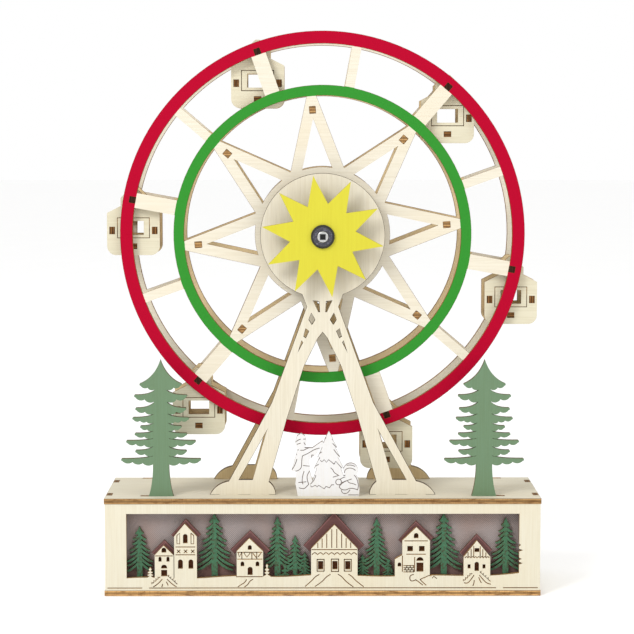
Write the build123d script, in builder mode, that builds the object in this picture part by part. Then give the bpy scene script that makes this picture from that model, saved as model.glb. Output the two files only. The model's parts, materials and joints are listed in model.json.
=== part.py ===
"""
Hand-cranked ferris wheel of laser-cut plywood, standing on a box with a village in its window.

Frame: X to the right, the front faces -Y, Z is up, and the origin is the centre of the base's
underside. All sizes are millimetres. Every flat piece is a sheet that stands in an XZ plane, lies in
an XY plane or stands in a YZ plane, as it would come off the laser.
"""
from build123d import *
import os
from math import cos, hypot, radians, sin, sqrt
from typing import NamedTuple

os.makedirs("parts", exist_ok=True)

# ---- Sheets and fits ----
ply = 4.0                   # plywood of the box, the supports and the wheel
cab_ply = 4.0               # plywood of the gondolas
tree_board_ply = 3.0        # green sheet behind the front window
roof_board_ply = 2.0        # brown sheet behind the houses
backdrop_thickness = 0.6    # woven backdrop
slot_gap = 0.05             # gap on each side of a tenon in its slot
running_gap = 0.08          # radial gap of a turning fit
side_play = 0.3             # gap between a turning face and a fixed one

# ---- Box ----
base_length = 313.2
base_depth = 90.0
base_height = 70.8
board_overhang = 0.5        # how far the two boards stand out from the panels
side_tenon = 10.0           # length of the tenons of the side panels
side_tenon_ys = (-26.6, 28.6)
long_tenon = 10.0           # length of the tenons of the front and rear panels
long_tenon_inset = 25.7     # from the end of a long panel to the middle of its tenon

panel_height = base_height - 2 * ply
panel_half_length = base_length / 2 - board_overhang
panel_front_y = -base_depth / 2 + board_overhang
panel_back_y = base_depth / 2 - board_overhang
panel_centre_z = base_height / 2
deck_z = base_height
inner_half_length = panel_half_length - ply
side_panel_x = panel_half_length - ply / 2
front_panel_mid_y = panel_front_y + ply / 2
rear_panel_mid_y = panel_back_y - ply / 2
long_tenon_x = panel_half_length - long_tenon_inset
side_tenon_spots = [(side * side_panel_x, y) for side in (-1, 1) for y in side_tenon_ys]

# ---- Window and village ----
window_left_border = 15.3   # from the end of the front panel to the window
window_right_border = 15.1
window_top_border = 11.1    # from the top of the box down to the window
window_notches = (          # cuts in its right edge, where branch tips show: reach, middle height
    (1.3, 37.0),
    (2.9, 33.2),
    (1.9, 26.8),
    (2.7, 23.7),
)
window_notch = 2.0          # height of those cuts at the edge
window_left = window_left_border - panel_half_length
window_right = panel_half_length - window_right_border
window_top = base_height - window_top_border
ground_line = (             # wavy snow line that the houses stand in
    (window_left, 12.9),
    (-119.3, 13.3),
    (-93.0, 12.7),
    (-62.7, 14.4),
    (-30.3, 13.8),
    (2.0, 15.4),
    (40.4, 14.0),
    (72.8, 14.8),
    (105.1, 14.4),
    (window_right, 16.5),
)
wall_inset = 0.8            # how far the brown backing stays inside each house wall
board_border = 9.0          # border of the green sheet, hidden behind the front panel
foot_strip_top = 10.3       # top of the strip that joins the roofs, under the snow line
village_fir_tip = 0.5       # radius of the branch tips of the green firs
snow_fir_tip = 0.3


class House(NamedTuple):
    """A house front: its walls, ridge and the ends of its roof."""

    left: float
    right: float
    eaves: float
    ridge: tuple
    roof_left: tuple
    roof_ridge: tuple
    roof_right: tuple


class Hole(NamedTuple):
    """A window or door: centre line, sill, width, height and a round or flat head."""

    x: float
    sill: float
    width: float
    height: float
    arched: bool


class Fir(NamedTuple):
    """A cut-out fir of the village: centre line, top, half width and number of branches."""

    x: float
    top: float
    half_width: float
    tiers: int
    trunk: float


annexe_house = House(57.1, 76.9, 40.2, (67.2, 49.9), (54.5, 39.7), (67.0, 54.0), (79.9, 41.8))
houses = (
    House(-120.5, -107.0, 29.7, (-114.1, 36.6), (-122.9, 31.0), (-113.7, 40.2), (-104.7, 31.0)),
    House(-106.5, -90.3, 43.3, (-98.9, 52.4), (-108.8, 43.5), (-98.3, 55.4), (-87.4, 43.9)),
    House(-61.7, -42.8, 32.5, (-52.6, 41.8), (-66.3, 33.0), (-52.1, 47.1), (-37.7, 32.7)),
    House(-8.3, 25.0, 34.3, (8.4, 51.6), (-13.9, 36.0), (8.2, 60.2), (29.9, 36.0)),
    annexe_house,
    House(101.2, 120.3, 28.2, (110.6, 40.1), (98.6, 30.7), (110.8, 44.4), (122.0, 32.6)),
)
annexe_width = 5.3          # lean-to on the left of that house
annexe_low = 26.6
annexe_high = 29.7
house_holes = (
    Hole(-113.9, 31.7, 3.4, 3.5, True),
    Hole(-116.7, 25.1, 2.2, 3.5, True),
    Hole(-111.0, 25.1, 2.2, 3.5, True),
    Hole(-113.8, 14.4, 4.3, 4.6, False),
    Hole(-113.8, 20.1, 4.3, 2.7, True),
    Hole(-98.5, 38.4, 3.3, 6.7, True),
    Hole(-102.1, 19.9, 3.5, 6.7, True),
    Hole(-94.6, 19.9, 3.5, 6.7, True),
    Hole(-52.3, 33.7, 2.8, 3.3, True),
    Hole(-57.6, 21.7, 2.6, 3.4, True),
    Hole(-46.8, 21.7, 2.6, 3.4, True),
    Hole(-52.1, 15.3, 3.6, 5.9, True),
    Hole(-1.5, 19.3, 3.7, 6.1, False),
    Hole(8.8, 19.3, 3.7, 6.1, False),
    Hole(18.0, 19.3, 3.7, 6.1, False),
    Hole(67.0, 42.0, 3.3, 3.7, True),
    Hole(62.7, 32.5, 4.0, 3.8, False),
    Hole(71.1, 32.5, 4.0, 3.8, False),
    Hole(69.8, 17.6, 5.0, 6.6, False),
    Hole(69.8, 25.5, 5.0, 2.7, True),
    Hole(55.1, 21.4, 2.6, 2.9, True),
    Hole(110.7, 31.9, 3.4, 2.8, False),
    Hole(105.1, 19.9, 2.1, 3.0, False),
    Hole(115.8, 19.9, 2.1, 3.0, False),
    Hole(110.6, 18.1, 3.2, 6.6, True),
)
village_firs = (
    Fir(-131.8, 49.5, 12.2, 8, 2.0),
    Fir(-77.9, 59.0, 15.8, 9, 2.2),
    Fir(-32.5, 56.6, 11.4, 10, 2.1),
    Fir(-19.8, 42.6, 8.6, 7, 1.6),
    Fir(-27.1, 22.4, 3.6, 3, 0.8),
    Fir(-12.9, 30.6, 5.8, 6, 1.0),
    Fir(28.9, 29.0, 5.8, 6, 1.0),
    Fir(38.9, 55.6, 11.6, 10, 2.1),
    Fir(47.3, 25.6, 4.8, 5, 0.9),
    Fir(87.3, 59.4, 15.0, 9, 2.2),
    Fir(131.8, 55.7, 13.4, 9, 2.1),
)
snow_firs = (
    Fir(-123.8, 20.8, 2.9, 4, 0.5),
    Fir(-40.0, 23.4, 2.5, 4, 0.5),
)

# ---- Wheel ----
wheel_clearance = 41.4      # from the deck up to the wheel's rim
wheel_mid_y = 6.5           # middle of the gap between the wheel's two plates
plate_gap = 35.0            # clear width between the wheel's two plates
hub_gap = 10.0              # from a wheel plate to the support beside it
red_outer_radius = 146.0
red_ring_width = 9.0
green_outer_radius = 107.5
green_ring_width = 7.5
hub_radius = 48.8
star_tips = 8
star_first_angle = 4.6
star_tip_overrun = 4.0      # from the green ring's outside to where a star point would end
star_valley_rise = 1.8      # from the hub's rim to the valleys between the star points
star_bar_width = 7.9
star_hole_floor = 43.9      # radius, inside the hub, where the open triangles start
spokes = 6
wide_spoke_width = 10.8
wide_spoke_angle = 49.6
narrow_spoke_width = 6.7
narrow_spoke_angle = 19.6

axle_height = red_outer_radius + wheel_clearance
axle_z = deck_z + axle_height
red_inner_radius = red_outer_radius - red_ring_width
green_inner_radius = green_outer_radius - green_ring_width
star_tip_radius = green_outer_radius + star_tip_overrun
star_valley_radius = hub_radius + star_valley_rise
front_plate_back_y = wheel_mid_y - plate_gap / 2
rear_plate_front_y = wheel_mid_y + plate_gap / 2
wheel_front_y = front_plate_back_y - ply
wheel_back_y = rear_plate_front_y + ply

# ---- Bars between the wheel's plates ----
hanger_bar = 4.4            # side of the square bars that carry the gondolas
hanger_inset = 6.8          # from the rim to the middle of a hanger bar
tie_bar_thickness = 4.4
tie_tenon_width = 5.0
tie_bar_width = 7.0
tie_bar_inset = 10.1        # from the green ring's inside to the middle of a tie bar

hanger_radius = red_outer_radius - hanger_inset
tie_bar_radius = green_inner_radius - tie_bar_inset

# ---- Axle, hub and crank ----
axle_diameter = 10.0
axle_square = 6.0           # square end that drives the crank arm
axle_square_play = 0.2      # how far the square stays inside the crank arm
spacer_diameter = 26.0
screw_diameter = 3.5
screw_length = 20.0
screw_head_diameter = 7.9
screw_head_height = 1.6
screw_head_rounding = 0.72
recess_width = 2.6
recess_depth = 1.0
pilot_depth = screw_length - ply
sun_points = 10
sun_radius = 43.6
sun_valley_radius = 23.5
sun_first_angle = -9.0
sun_standoff = 10.0         # from the front support to the back of the yellow sun
washer_diameter = 16.8
washer_height = 2.6
washer_bevel = 1.0
crank_throw = 29.0          # from the axle to the knob
crank_hub_radius = 9.0
crank_end_radius = 7.0
crank_washer_diameter = 14.0
crank_washer_height = 1.0
knob_pin_diameter = 4.0
knob_pin_head = 8.0
knob_pin_head_height = 2.0
knob_pin_head_rounding = 0.8
knob_diameter = 13.0
knob_waist = 10.0
knob_mouth = 11.2           # diameter of the end beside the arm
knob_end_flat = 7.8         # diameter of the flat at the free end
knob_length = 26.0
knob_waist_share = 0.3      # where the waist is, as a share of the length
knob_crown = 3.25           # from the widest ring to the free end
knob_crown_bulge = (0.65, 5.46)  # from the free end and from the knob's line

# ---- Supports ----
head_radius = 44.6
neck = ((-14.6, -42.4), (-11.4, -50.9))    # from the axle; the points below are from the deck
outer_knee = (-36.6, 67.1)
outer_ankle = (-67.7, 10.0)
foot_toe_x = -81.5
foot_toe_bulge = (-76.6, 6.1)
foot_heel_x = -33.8
foot_heel_bulge = (-35.5, 6.0)
inner_ankle = (-38.7, 9.6)
inner_knees = ((-25.8, 55.1), (-13.4, 93.3), (-3.4, 113.7))
crotch_height = 118.1
leg_slot = ((-40.2, 46.7), (-60.5, 10.8), (-50.4, 10.8))
ornaments = (               # four small cut-outs on each side below the neck
    ((-6.8, 140.8), (-2.6, 140.3), (-2.1, 132.8), (-3.1, 132.8)),
    ((-8.1, 131.7), (-9.9, 127.1), (-7.7, 123.6), (-5.4, 127.1)),
    ((-12.1, 120.6), (-9.9, 118.8), (-12.1, 114.0), (-13.6, 115.0)),
    ((-15.0, 111.7), (-14.2, 110.7), (-17.0, 105.4)),
)
foot_tenon = 14.0
foot_tenon_xs = (-67.7, -45.5)

support_front_y = wheel_front_y - hub_gap - ply
support_rear_y = wheel_back_y + hub_gap

# ---- Gondolas, measured from the hanger bar ----
cab_side_gap = 2.5          # from an end plate to the wheel plate beside it
cab_half_width = 19.1
cab_eaves = -9.7
cab_shoulder = (9.1, -4.6)
cab_hanger_side = 1.2       # top of the hanger's straight sides
cab_hanger_top = (1.6, 8.7)
cab_height = 30.6           # from the eaves down to the lower edge
cab_corner_radius = 6.6
cab_window = (15.0, 10.0)
cab_window_drop = 10.8      # from the eaves to the window's middle
cab_wall_inset = 3.7        # from an end plate's side to the middle of a wall
cab_wall_drop = 3.8         # from the eaves to a wall's upper edge
cab_wall_tenon = 5.3
cab_wall_tenon_drop = 12.7  # from the eaves to the middle of a wall's tenon
cab_floor_rise = 6.5        # from the lower edge to the middle of the floor
cab_wall_gap = 1.2          # between a wall and the floor
cab_floor_tenon = 5.3

cab_depth = plate_gap - 2 * cab_side_gap
cab_bottom = cab_eaves - cab_height
cab_window_z = cab_eaves - cab_window_drop
cab_wall_x = cab_half_width - cab_wall_inset
cab_wall_top = cab_eaves - cab_wall_drop
cab_wall_tenon_z = cab_eaves - cab_wall_tenon_drop
cab_floor_z = cab_bottom + cab_floor_rise
cab_wall_bottom = cab_floor_z + cab_ply / 2 + cab_wall_gap
cab_front_y = wheel_mid_y - cab_depth / 2
cab_back_y = wheel_mid_y + cab_depth / 2

# ---- Pieces that stand on the deck ----
scenery_y = -35.0           # front face of the trees and of the white scene
tree_inset = 40.4           # from the end of the box to the middle of a tree
tree_height = 98.9
tree_tiers = (              # (half width, height of the branch tip) from the top down
    (15.1, 81.0),
    (19.0, 72.7),
    (18.2, 63.3),
    (20.4, 56.4),
    (14.9, 50.3),
    (18.8, 45.0),
    (25.0, 39.7),
    (18.5, 32.6),
    (28.7, 26.5),
)
tree_tip = 0.9              # radius of the branch tips
tree_trunk = 5.8
tree_foot = 8.9
tree_tenon = 10.0
tree_slot_extra = 6.0       # the slot runs on past the outer side of the tree's foot
scene_base = (-17.9, 26.2)
scene_base_height = 5.0
scene_base_slant = 1.2
scene_tenon = 16.0
scene_fir_x = 4.5
scene_fir = (               # right half of the fir in the middle of the scene
    (4.5, 47.2),
    (7.7, 41.1),
    (7.0, 41.3),
    (10.4, 35.2),
    (9.1, 35.6),
    (12.7, 27.9),
    (10.9, 28.5),
    (15.3, 19.7),
    (13.1, 20.4),
    (17.2, 8.1),
    (16.1, 0.0),
)
scene_child_head = (-15.7, 38.3, 4.0)       # middle and radius
scene_child_hat = (
    (-19.6, 39.7),
    (-18.4, 43.8),
    (-15.5, 45.6),
    (-12.7, 43.8),
    (-11.7, 39.7),
)
scene_child_coat = (
    (-17.6, 35.2),
    (-22.4, 18.5),
    (-18.8, 17.7),
    (-19.6, 9.2),
    (-17.9, 0.0),
    (-4.0, 0.0),
    (-9.1, 17.7),
    (-9.7, 26.5),
    (-4.6, 30.5),
    (1.2, 37.5),
    (-0.2, 40.1),
    (-7.5, 35.0),
)
scene_kneeler_head = (20.2, 18.7, 5.2)
scene_kneeler_body = (
    (14.7, 14.7),
    (10.5, 10.4),
    (9.5, 6.5),
    (12.1, 0.0),
    (26.2, 0.0),
    (26.6, 5.1),
    (25.6, 12.8),
    (23.8, 15.9),
)

tree_x = base_length / 2 - tree_inset
scenery_mid_y = scenery_y + ply / 2
scene_mid_x = (scene_base[0] + scene_base[1]) / 2
tree_slot = tree_foot + tree_slot_extra + tree_tenon / 2
tree_slot_x = tree_x + (tree_foot + tree_slot_extra - tree_tenon / 2) / 2

# ---- Shape of a cut-out fir ----
fir_long_branch = 20.3      # branches longer than this have three scallops below, the others two
fir_branch_rise = 0.34      # how far a lower edge sinks to the trunk, as a share of the next step
fir_last_sink = 2.6         # the same under the lowest branch, in tip radii
fir_trunk_step = 0.5        # bare trunk between two branches, in tip radii
fir_neck_share = 0.62       # narrowest trunk, as a share of the full trunk
fir_shoulder = (0.30, 0.8)  # bend of a branch's upper edge: share of its reach, in tip radii
fir_crown = (0.28, 0.30)    # bend of the top branch: shares of its reach and of its height
fir_scallop_sag = 0.22      # depth of a scallop, as a share of its width
fir_scallop_limit = 0.6     # and its most, as a share of the branch's sink
fir_foot_bend = 0.45        # height of the trunk's flare

# ---- Shape of the village firs, whose branches hang ----
hanging_top = 0.92          # height of the highest branch's root, as a share of the fir
hanging_foot = 0.24         # height of the lowest branch's root
hanging_reach = 0.20        # reach that the top branch starts from, as a share of the lowest
hanging_short = 0.84        # every other branch is shorter
hanging_droop = 0.60        # how far a tip hangs below its branch's root, as a share of the reach
hanging_depth = 0.72        # depth of a branch at the trunk, as a share of the branch spacing
hanging_bend = (0.45, 0.66) # bend of a branch: shares of its reach and of its droop
hanging_body = 0.95         # depth of a branch at its bend, as a share of that at the trunk
hanging_taper = 0.45        # half width of the trunk at the top branch, as a share of the foot


# ---------------------------------------------------------------- shared outlines


def upright(back_y):
    """Plane of a sheet that stands across the wheel's axis; extruding moves to the front."""
    return Plane.XZ.offset(-back_y)


def polar_point(radius, angle):
    """Point at a radius and an angle in degrees, seen from the front."""
    return (radius * cos(radians(angle)), radius * sin(radians(angle)))


def wheel_point(radius, angle):
    """The same, measured from the axle."""
    x, z = polar_point(radius, angle)
    return (x, axle_z + z)


def polygon(points):
    """Closed outline through points."""
    with BuildSketch() as sketch:
        with BuildLine():
            Polyline(*points, close=True)
        make_face()
    return sketch.sketch


def hole_outline(hole):
    """Window or door with a flat or a round head, which starts above the sill."""
    head = hole.width / 2 if hole.arched else 0
    with BuildSketch() as sketch:
        if hole.arched:
            with Locations((hole.x, hole.sill + hole.height - head)):
                Circle(head)
                Rectangle(2 * hole.width, head, align=(Align.CENTER, Align.MAX), mode=Mode.SUBTRACT)
        with Locations((hole.x, hole.sill)):
            Rectangle(hole.width, hole.height - head, align=(Align.CENTER, Align.MIN))
    return sketch.sketch


def between(first, second, share):
    """Point on the line from first to second."""
    return tuple(a + share * (b - a) for a, b in zip(first, second))


def scalloped_edge(tip_low, neck, scallops, sink):
    """Lower edge of a branch: scallops that hang between its tip and the trunk."""
    for step in range(scallops):
        start = between(tip_low, neck, step / scallops)
        end = between(tip_low, neck, (step + 1) / scallops)
        sag = min(fir_scallop_sag * abs(end[0] - start[0]), fir_scallop_limit * sink)
        middle = between(start, end, 0.5)
        ThreePointArc(start, (middle[0], middle[1] - sag), end)


def fir_outline(height, tiers, trunk, foot, tip):
    """
    Cut-out fir that stands on y = 0. Each tier is (half width, height of its tip): its upper edge
    falls away from the trunk in a curve, its tip is round with the radius tip, and its lower edge
    hangs in scallops. trunk and foot are half widths.
    """
    with BuildSketch() as sketch:
        with BuildLine():
            start = (0, height)
            for index, (reach, tip_z) in enumerate(tiers):
                if index + 1 < len(tiers):
                    sink = fir_branch_rise * (tip_z - tiers[index + 1][1])
                else:
                    sink = fir_last_sink * tip
                if index == 0:
                    bend = (fir_crown[0] * reach, tip_z + fir_crown[1] * (height - tip_z))
                else:
                    bend = (
                        start[0] + fir_shoulder[0] * (reach - start[0]),
                        tip_z + fir_shoulder[1] * tip,
                    )
                widening = 2 * (1 - fir_neck_share) * (height - tip_z) / height
                neck = (trunk * min(1.0, fir_neck_share + widening), tip_z - tip - sink)
                tip_top = (reach - tip, tip_z + tip)
                tip_low = (reach - tip, tip_z - tip)
                Bezier(start, bend, tip_top)
                ThreePointArc(tip_top, (reach, tip_z), tip_low)
                scalloped_edge(tip_low, neck, 2 if reach < fir_long_branch else 3, sink)
                start = (neck[0], neck[1] - fir_trunk_step * tip)
                Line(neck, start)
            Bezier(start, (trunk, start[1] * fir_foot_bend), (foot, 0))
            Line((foot, 0), (0, 0))
            Line((0, 0), (0, height))
        make_face()
        mirror(about=Plane.YZ)
    return sketch.sketch


def village_fir_outline(fir, bottom, tip):
    """Fir of the village: thin hanging branches with a gap under each, longer downwards."""
    height = fir.top - bottom
    spacing = (hanging_top - hanging_foot) * height / fir.tiers
    depth = hanging_depth * spacing
    with BuildSketch() as sketch:
        with Locations((fir.x, bottom)):
            with BuildSketch(mode=Mode.PRIVATE) as tree:
                with BuildLine():
                    root = (0, height)
                    for index in range(fir.tiers):
                        share = (index + 1) / fir.tiers
                        swing = 1.0 if index % 2 else hanging_short
                        reach = fir.half_width * (hanging_reach + (1 - hanging_reach) * share) * swing
                        trunk = fir.trunk * (hanging_taper + (1 - hanging_taper) * share)
                        root_z = hanging_top * height - index * spacing
                        droop = hanging_droop * reach
                        bend_x = trunk + hanging_bend[0] * (reach - trunk)
                        bend_z = root_z - hanging_bend[1] * droop
                        tip_top = (reach - tip, root_z - droop + tip)
                        tip_low = (reach - tip, root_z - droop - tip)
                        neck = (trunk, root_z - depth)
                        Bezier(root, (bend_x, bend_z), tip_top)
                        ThreePointArc(tip_top, (reach, root_z - droop), tip_low)
                        Bezier(tip_low, (bend_x, bend_z - hanging_body * depth), neck)
                        root = (trunk, root_z - spacing)
                        Line(neck, root)
                    Line(root, (trunk, 0))
                    Line((trunk, 0), (0, 0))
                    Line((0, 0), (0, height))
                make_face()
                mirror(about=Plane.YZ)
            add(tree.sketch)
    return sketch.sketch


# ---------------------------------------------------------------- box


with BuildPart() as bottom_board:
    with BuildSketch():
        Rectangle(base_length, base_depth)
        with Locations(*side_tenon_spots):
            Rectangle(ply + 2 * slot_gap, side_tenon + 2 * slot_gap, mode=Mode.SUBTRACT)
        for panel_y in (front_panel_mid_y, rear_panel_mid_y):
            with Locations((-long_tenon_x, panel_y), (long_tenon_x, panel_y)):
                Rectangle(long_tenon + 2 * slot_gap, ply + 2 * slot_gap, mode=Mode.SUBTRACT)
    extrude(amount=ply)
bottom_board.part.label = "bottom_board"
export_step(bottom_board.part, "parts/bottom_board.step")


with BuildPart() as deck_board:
    with BuildSketch(Plane.XY.offset(deck_z - ply)):
        Rectangle(base_length, base_depth)
        with Locations(*side_tenon_spots):
            Rectangle(ply + 2 * slot_gap, side_tenon + 2 * slot_gap, mode=Mode.SUBTRACT)
        with Locations((-long_tenon_x, rear_panel_mid_y), (long_tenon_x, rear_panel_mid_y)):
            Rectangle(long_tenon + 2 * slot_gap, ply + 2 * slot_gap, mode=Mode.SUBTRACT)
        for foot_x in foot_tenon_xs:
            for foot_y in (support_front_y + ply / 2, support_rear_y + ply / 2):
                with Locations((-foot_x, foot_y), (foot_x, foot_y)):
                    Rectangle(foot_tenon + 2 * slot_gap, ply + 2 * slot_gap, mode=Mode.SUBTRACT)
        with Locations((-tree_slot_x, scenery_mid_y), (tree_slot_x, scenery_mid_y)):
            Rectangle(tree_slot + 2 * slot_gap, ply + 2 * slot_gap, mode=Mode.SUBTRACT)
        with Locations((scene_mid_x, scenery_mid_y)):
            Rectangle(scene_tenon + 2 * slot_gap, ply + 2 * slot_gap, mode=Mode.SUBTRACT)
    extrude(amount=ply)
deck_board.part.label = "deck_board"
export_step(deck_board.part, "parts/deck_board.step")


for name, side in (("left_side_panel", -1), ("right_side_panel", 1)):
    with BuildPart() as side_panel:
        with BuildSketch(Plane.YZ.offset(side * side_panel_x - ply / 2)):
            with Locations((0, panel_centre_z)):
                Rectangle(panel_back_y - panel_front_y - 2 * ply, panel_height)
            with Locations(*[(y, panel_centre_z) for y in side_tenon_ys]):
                Rectangle(side_tenon, base_height)
        extrude(amount=ply)
    side_panel.part.label = name
    export_step(side_panel.part, f"parts/{name}.step")


with BuildPart() as rear_panel:
    with BuildSketch(upright(panel_back_y)):
        with Locations((0, panel_centre_z)):
            Rectangle(2 * panel_half_length, panel_height)
        with Locations((-long_tenon_x, panel_centre_z), (long_tenon_x, panel_centre_z)):
            Rectangle(long_tenon, base_height)
    extrude(amount=ply)
rear_panel.part.label = "rear_panel"
export_step(rear_panel.part, "parts/rear_panel.step")


# ---------------------------------------------------------------- village behind the window


def window_outline():
    """Window from the snow line to its straight top."""
    with BuildSketch() as sketch:
        with BuildLine():
            snow = Spline(*ground_line)
            Polyline(snow @ 1, (window_right, window_top), (window_left, window_top), snow @ 0)
        make_face()
        for reach, middle_z in window_notches:
            low, high = (middle_z - window_notch / 2, middle_z + window_notch / 2)
            add(polygon([(window_right, low), (window_right + reach, middle_z), (window_right, high)]))
    return sketch.sketch


def house_outline(house, inset):
    """Walls and gable of a house from under the snow line, drawn in by inset at the walls."""
    return polygon((
        (house.left + inset, foot_strip_top),
        (house.right - inset, foot_strip_top),
        (house.right - inset, house.eaves),
        house.ridge,
        (house.left + inset, house.eaves),
    ))


def annexe_outline(inset):
    """Lean-to on the left of its house, drawn in by inset at its wall."""
    return polygon((
        (annexe_house.left - annexe_width + inset, foot_strip_top),
        (annexe_house.left + inset, foot_strip_top),
        (annexe_house.left + inset, annexe_high),
        (annexe_house.left - annexe_width + inset, annexe_low),
    ))


def roof_outline(house):
    """Two roof slopes from their outer line down to the gable, with their ends cut square."""
    ridge_drop = house.roof_ridge[1] - house.ridge[1] + wall_inset
    with BuildSketch() as sketch:
        for end in (house.roof_left, house.roof_right):
            run = (house.roof_ridge[0] - end[0], house.roof_ridge[1] - end[1])
            length = hypot(*run)
            band = ridge_drop * abs(run[0]) / length
            inward = band * abs(run[0]) / length
            sideways = band * run[0] / abs(run[0]) * run[1] / length
            add(polygon((
                end,
                house.roof_ridge,
                (house.roof_ridge[0], house.roof_ridge[1] - ridge_drop),
                (end[0] + sideways, end[1] - inward),
            )))
    return sketch.sketch


with BuildPart() as front_panel:
    with BuildSketch(upright(panel_front_y + ply)):
        with Locations((0, panel_centre_z)):
            Rectangle(2 * panel_half_length, panel_height)
        with Locations((-long_tenon_x, ply), (long_tenon_x, ply)):
            Rectangle(long_tenon, 2 * ply)
        add(window_outline(), mode=Mode.SUBTRACT)
        for house in houses:
            add(house_outline(house, 0))
        add(annexe_outline(0))
        for fir in snow_firs:
            add(village_fir_outline(fir, foot_strip_top, snow_fir_tip))
        for hole in house_holes:
            add(hole_outline(hole), mode=Mode.SUBTRACT)
    extrude(amount=ply)
front_panel.part.label = "front_panel"
export_step(front_panel.part, "parts/front_panel.step")


roof_board_back_y = panel_front_y + ply + roof_board_ply
with BuildPart() as village_roofs_board:
    with BuildSketch(upright(roof_board_back_y)):
        with Locations((0, (ply + foot_strip_top) / 2)):
            Rectangle(2 * inner_half_length, foot_strip_top - ply)
        for house in houses:
            add(house_outline(house, wall_inset))
            add(roof_outline(house))
        add(annexe_outline(wall_inset))
    extrude(amount=roof_board_ply)
village_roofs_board.part.label = "village_roofs_board"
export_step(village_roofs_board.part, "parts/village_roofs_board.step")


tree_board_back_y = roof_board_back_y + tree_board_ply
with BuildPart() as village_trees_board:
    with BuildSketch(upright(tree_board_back_y)):
        with Locations((0, panel_centre_z)):
            Rectangle(2 * inner_half_length, panel_height)
            Rectangle(
                2 * (inner_half_length - board_border),
                panel_height - 2 * (foot_strip_top - ply),
                mode=Mode.SUBTRACT,
            )
        for fir in village_firs:
            add(village_fir_outline(fir, foot_strip_top, village_fir_tip))
        with Locations((0, panel_centre_z)):
            Rectangle(2 * inner_half_length, panel_height, mode=Mode.INTERSECT)
    extrude(amount=tree_board_ply)
village_trees_board.part.label = "village_trees_board"
export_step(village_trees_board.part, "parts/village_trees_board.step")


with BuildPart() as village_backdrop:
    with BuildSketch(upright(tree_board_back_y + backdrop_thickness)):
        with Locations((0, panel_centre_z)):
            Rectangle(2 * inner_half_length, panel_height)
    extrude(amount=backdrop_thickness)
village_backdrop.part.label = "village_backdrop"
export_step(village_backdrop.part, "parts/village_backdrop.step")


# ---------------------------------------------------------------- supports


def leg_outline():
    """Left leg of a support on y = 0, with its rounded foot and the tenons that enter the deck."""
    upper_neck, lower_neck = [(x, axle_height + z) for x, z in neck]
    with BuildSketch() as sketch:
        with BuildLine():
            Polyline((0, axle_height), (upper_neck[0], axle_height), upper_neck)
            Polyline(upper_neck, lower_neck, outer_knee, outer_ankle)
            ThreePointArc(outer_ankle, foot_toe_bulge, (foot_toe_x, 0))
            Line((foot_toe_x, 0), (foot_heel_x, 0))
            ThreePointArc((foot_heel_x, 0), foot_heel_bulge, inner_ankle)
            Polyline(inner_ankle, *inner_knees, (0, crotch_height), (0, axle_height))
        make_face()
        add(polygon(leg_slot), mode=Mode.SUBTRACT)
        with Locations(*[(x, -ply / 2) for x in foot_tenon_xs]):
            Rectangle(foot_tenon, ply)
    return sketch.sketch


def support_outline():
    """Both legs under the round head that carries the axle."""
    with BuildSketch() as sketch:
        add(leg_outline())
        mirror(about=Plane.YZ)
        with Locations((0, axle_height)):
            Circle(head_radius)
            Circle(axle_diameter / 2 + running_gap, mode=Mode.SUBTRACT)
        for ornament in ornaments:
            add(polygon(ornament), mode=Mode.SUBTRACT)
            add(polygon([(-x, z) for x, z in ornament]), mode=Mode.SUBTRACT)
    return sketch.sketch


for name, front_y in (("front_support", support_front_y), ("rear_support", support_rear_y)):
    with BuildPart() as support:
        with BuildSketch(upright(front_y + ply)):
            with Locations((0, deck_z)):
                add(support_outline())
        extrude(amount=ply)
    support.part.label = name
    export_step(support.part, f"parts/{name}.step")


# ---------------------------------------------------------------- wheel


def star_band_outline():
    """Eight-pointed star, its points clipped by the green ring, with open triangles."""
    valley_x, valley_y = polar_point(star_valley_radius, 180 / star_tips)
    slope = valley_y / (star_tip_radius - valley_x)
    apex = star_tip_radius - star_bar_width * sqrt(1 + slope ** 2) / slope
    points = []
    for tip in range(star_tips):
        points.append(polar_point(star_tip_radius, tip * 360 / star_tips))
        points.append(polar_point(star_valley_radius, (tip + 0.5) * 360 / star_tips))
    with BuildSketch() as sketch:
        add(polygon(points))
        Circle((green_outer_radius + green_inner_radius) / 2, mode=Mode.INTERSECT)
        half_base = slope * (apex - star_hole_floor)
        triangle = polygon(((apex, 0), (star_hole_floor, half_base), (star_hole_floor, -half_base)))
        for tip in range(star_tips):
            add(triangle.rotate(Axis.Z, tip * 360 / star_tips), mode=Mode.SUBTRACT)
        Circle(hub_radius)
    return sketch.sketch


def wheel_outline():
    """One plate of the wheel, drawn about the axle and seen from the front."""
    ring_middle = (green_inner_radius + green_outer_radius) / 2
    rim_middle = (red_inner_radius + red_outer_radius) / 2
    with BuildSketch() as sketch:
        Circle(red_outer_radius)
        Circle(red_inner_radius, mode=Mode.SUBTRACT)
        Circle(green_outer_radius)
        Circle(green_inner_radius, mode=Mode.SUBTRACT)
        add(star_band_outline(), rotation=star_first_angle)
        spoke_length = rim_middle - ring_middle
        for width, angle in (
            (wide_spoke_width, wide_spoke_angle),
            (narrow_spoke_width, narrow_spoke_angle),
        ):
            with PolarLocations((rim_middle + ring_middle) / 2, spokes, start_angle=angle):
                Rectangle(spoke_length, width)
        with PolarLocations(hanger_radius, spokes, start_angle=wide_spoke_angle):
            Rectangle(hanger_bar + 2 * slot_gap, hanger_bar + 2 * slot_gap, mode=Mode.SUBTRACT)
        with PolarLocations(tie_bar_radius, star_tips, start_angle=star_first_angle):
            Rectangle(
                tie_tenon_width + 2 * slot_gap,
                tie_bar_thickness + 2 * slot_gap,
                mode=Mode.SUBTRACT,
            )
        Circle(axle_diameter / 2 + slot_gap, mode=Mode.SUBTRACT)
    return sketch.sketch


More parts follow.
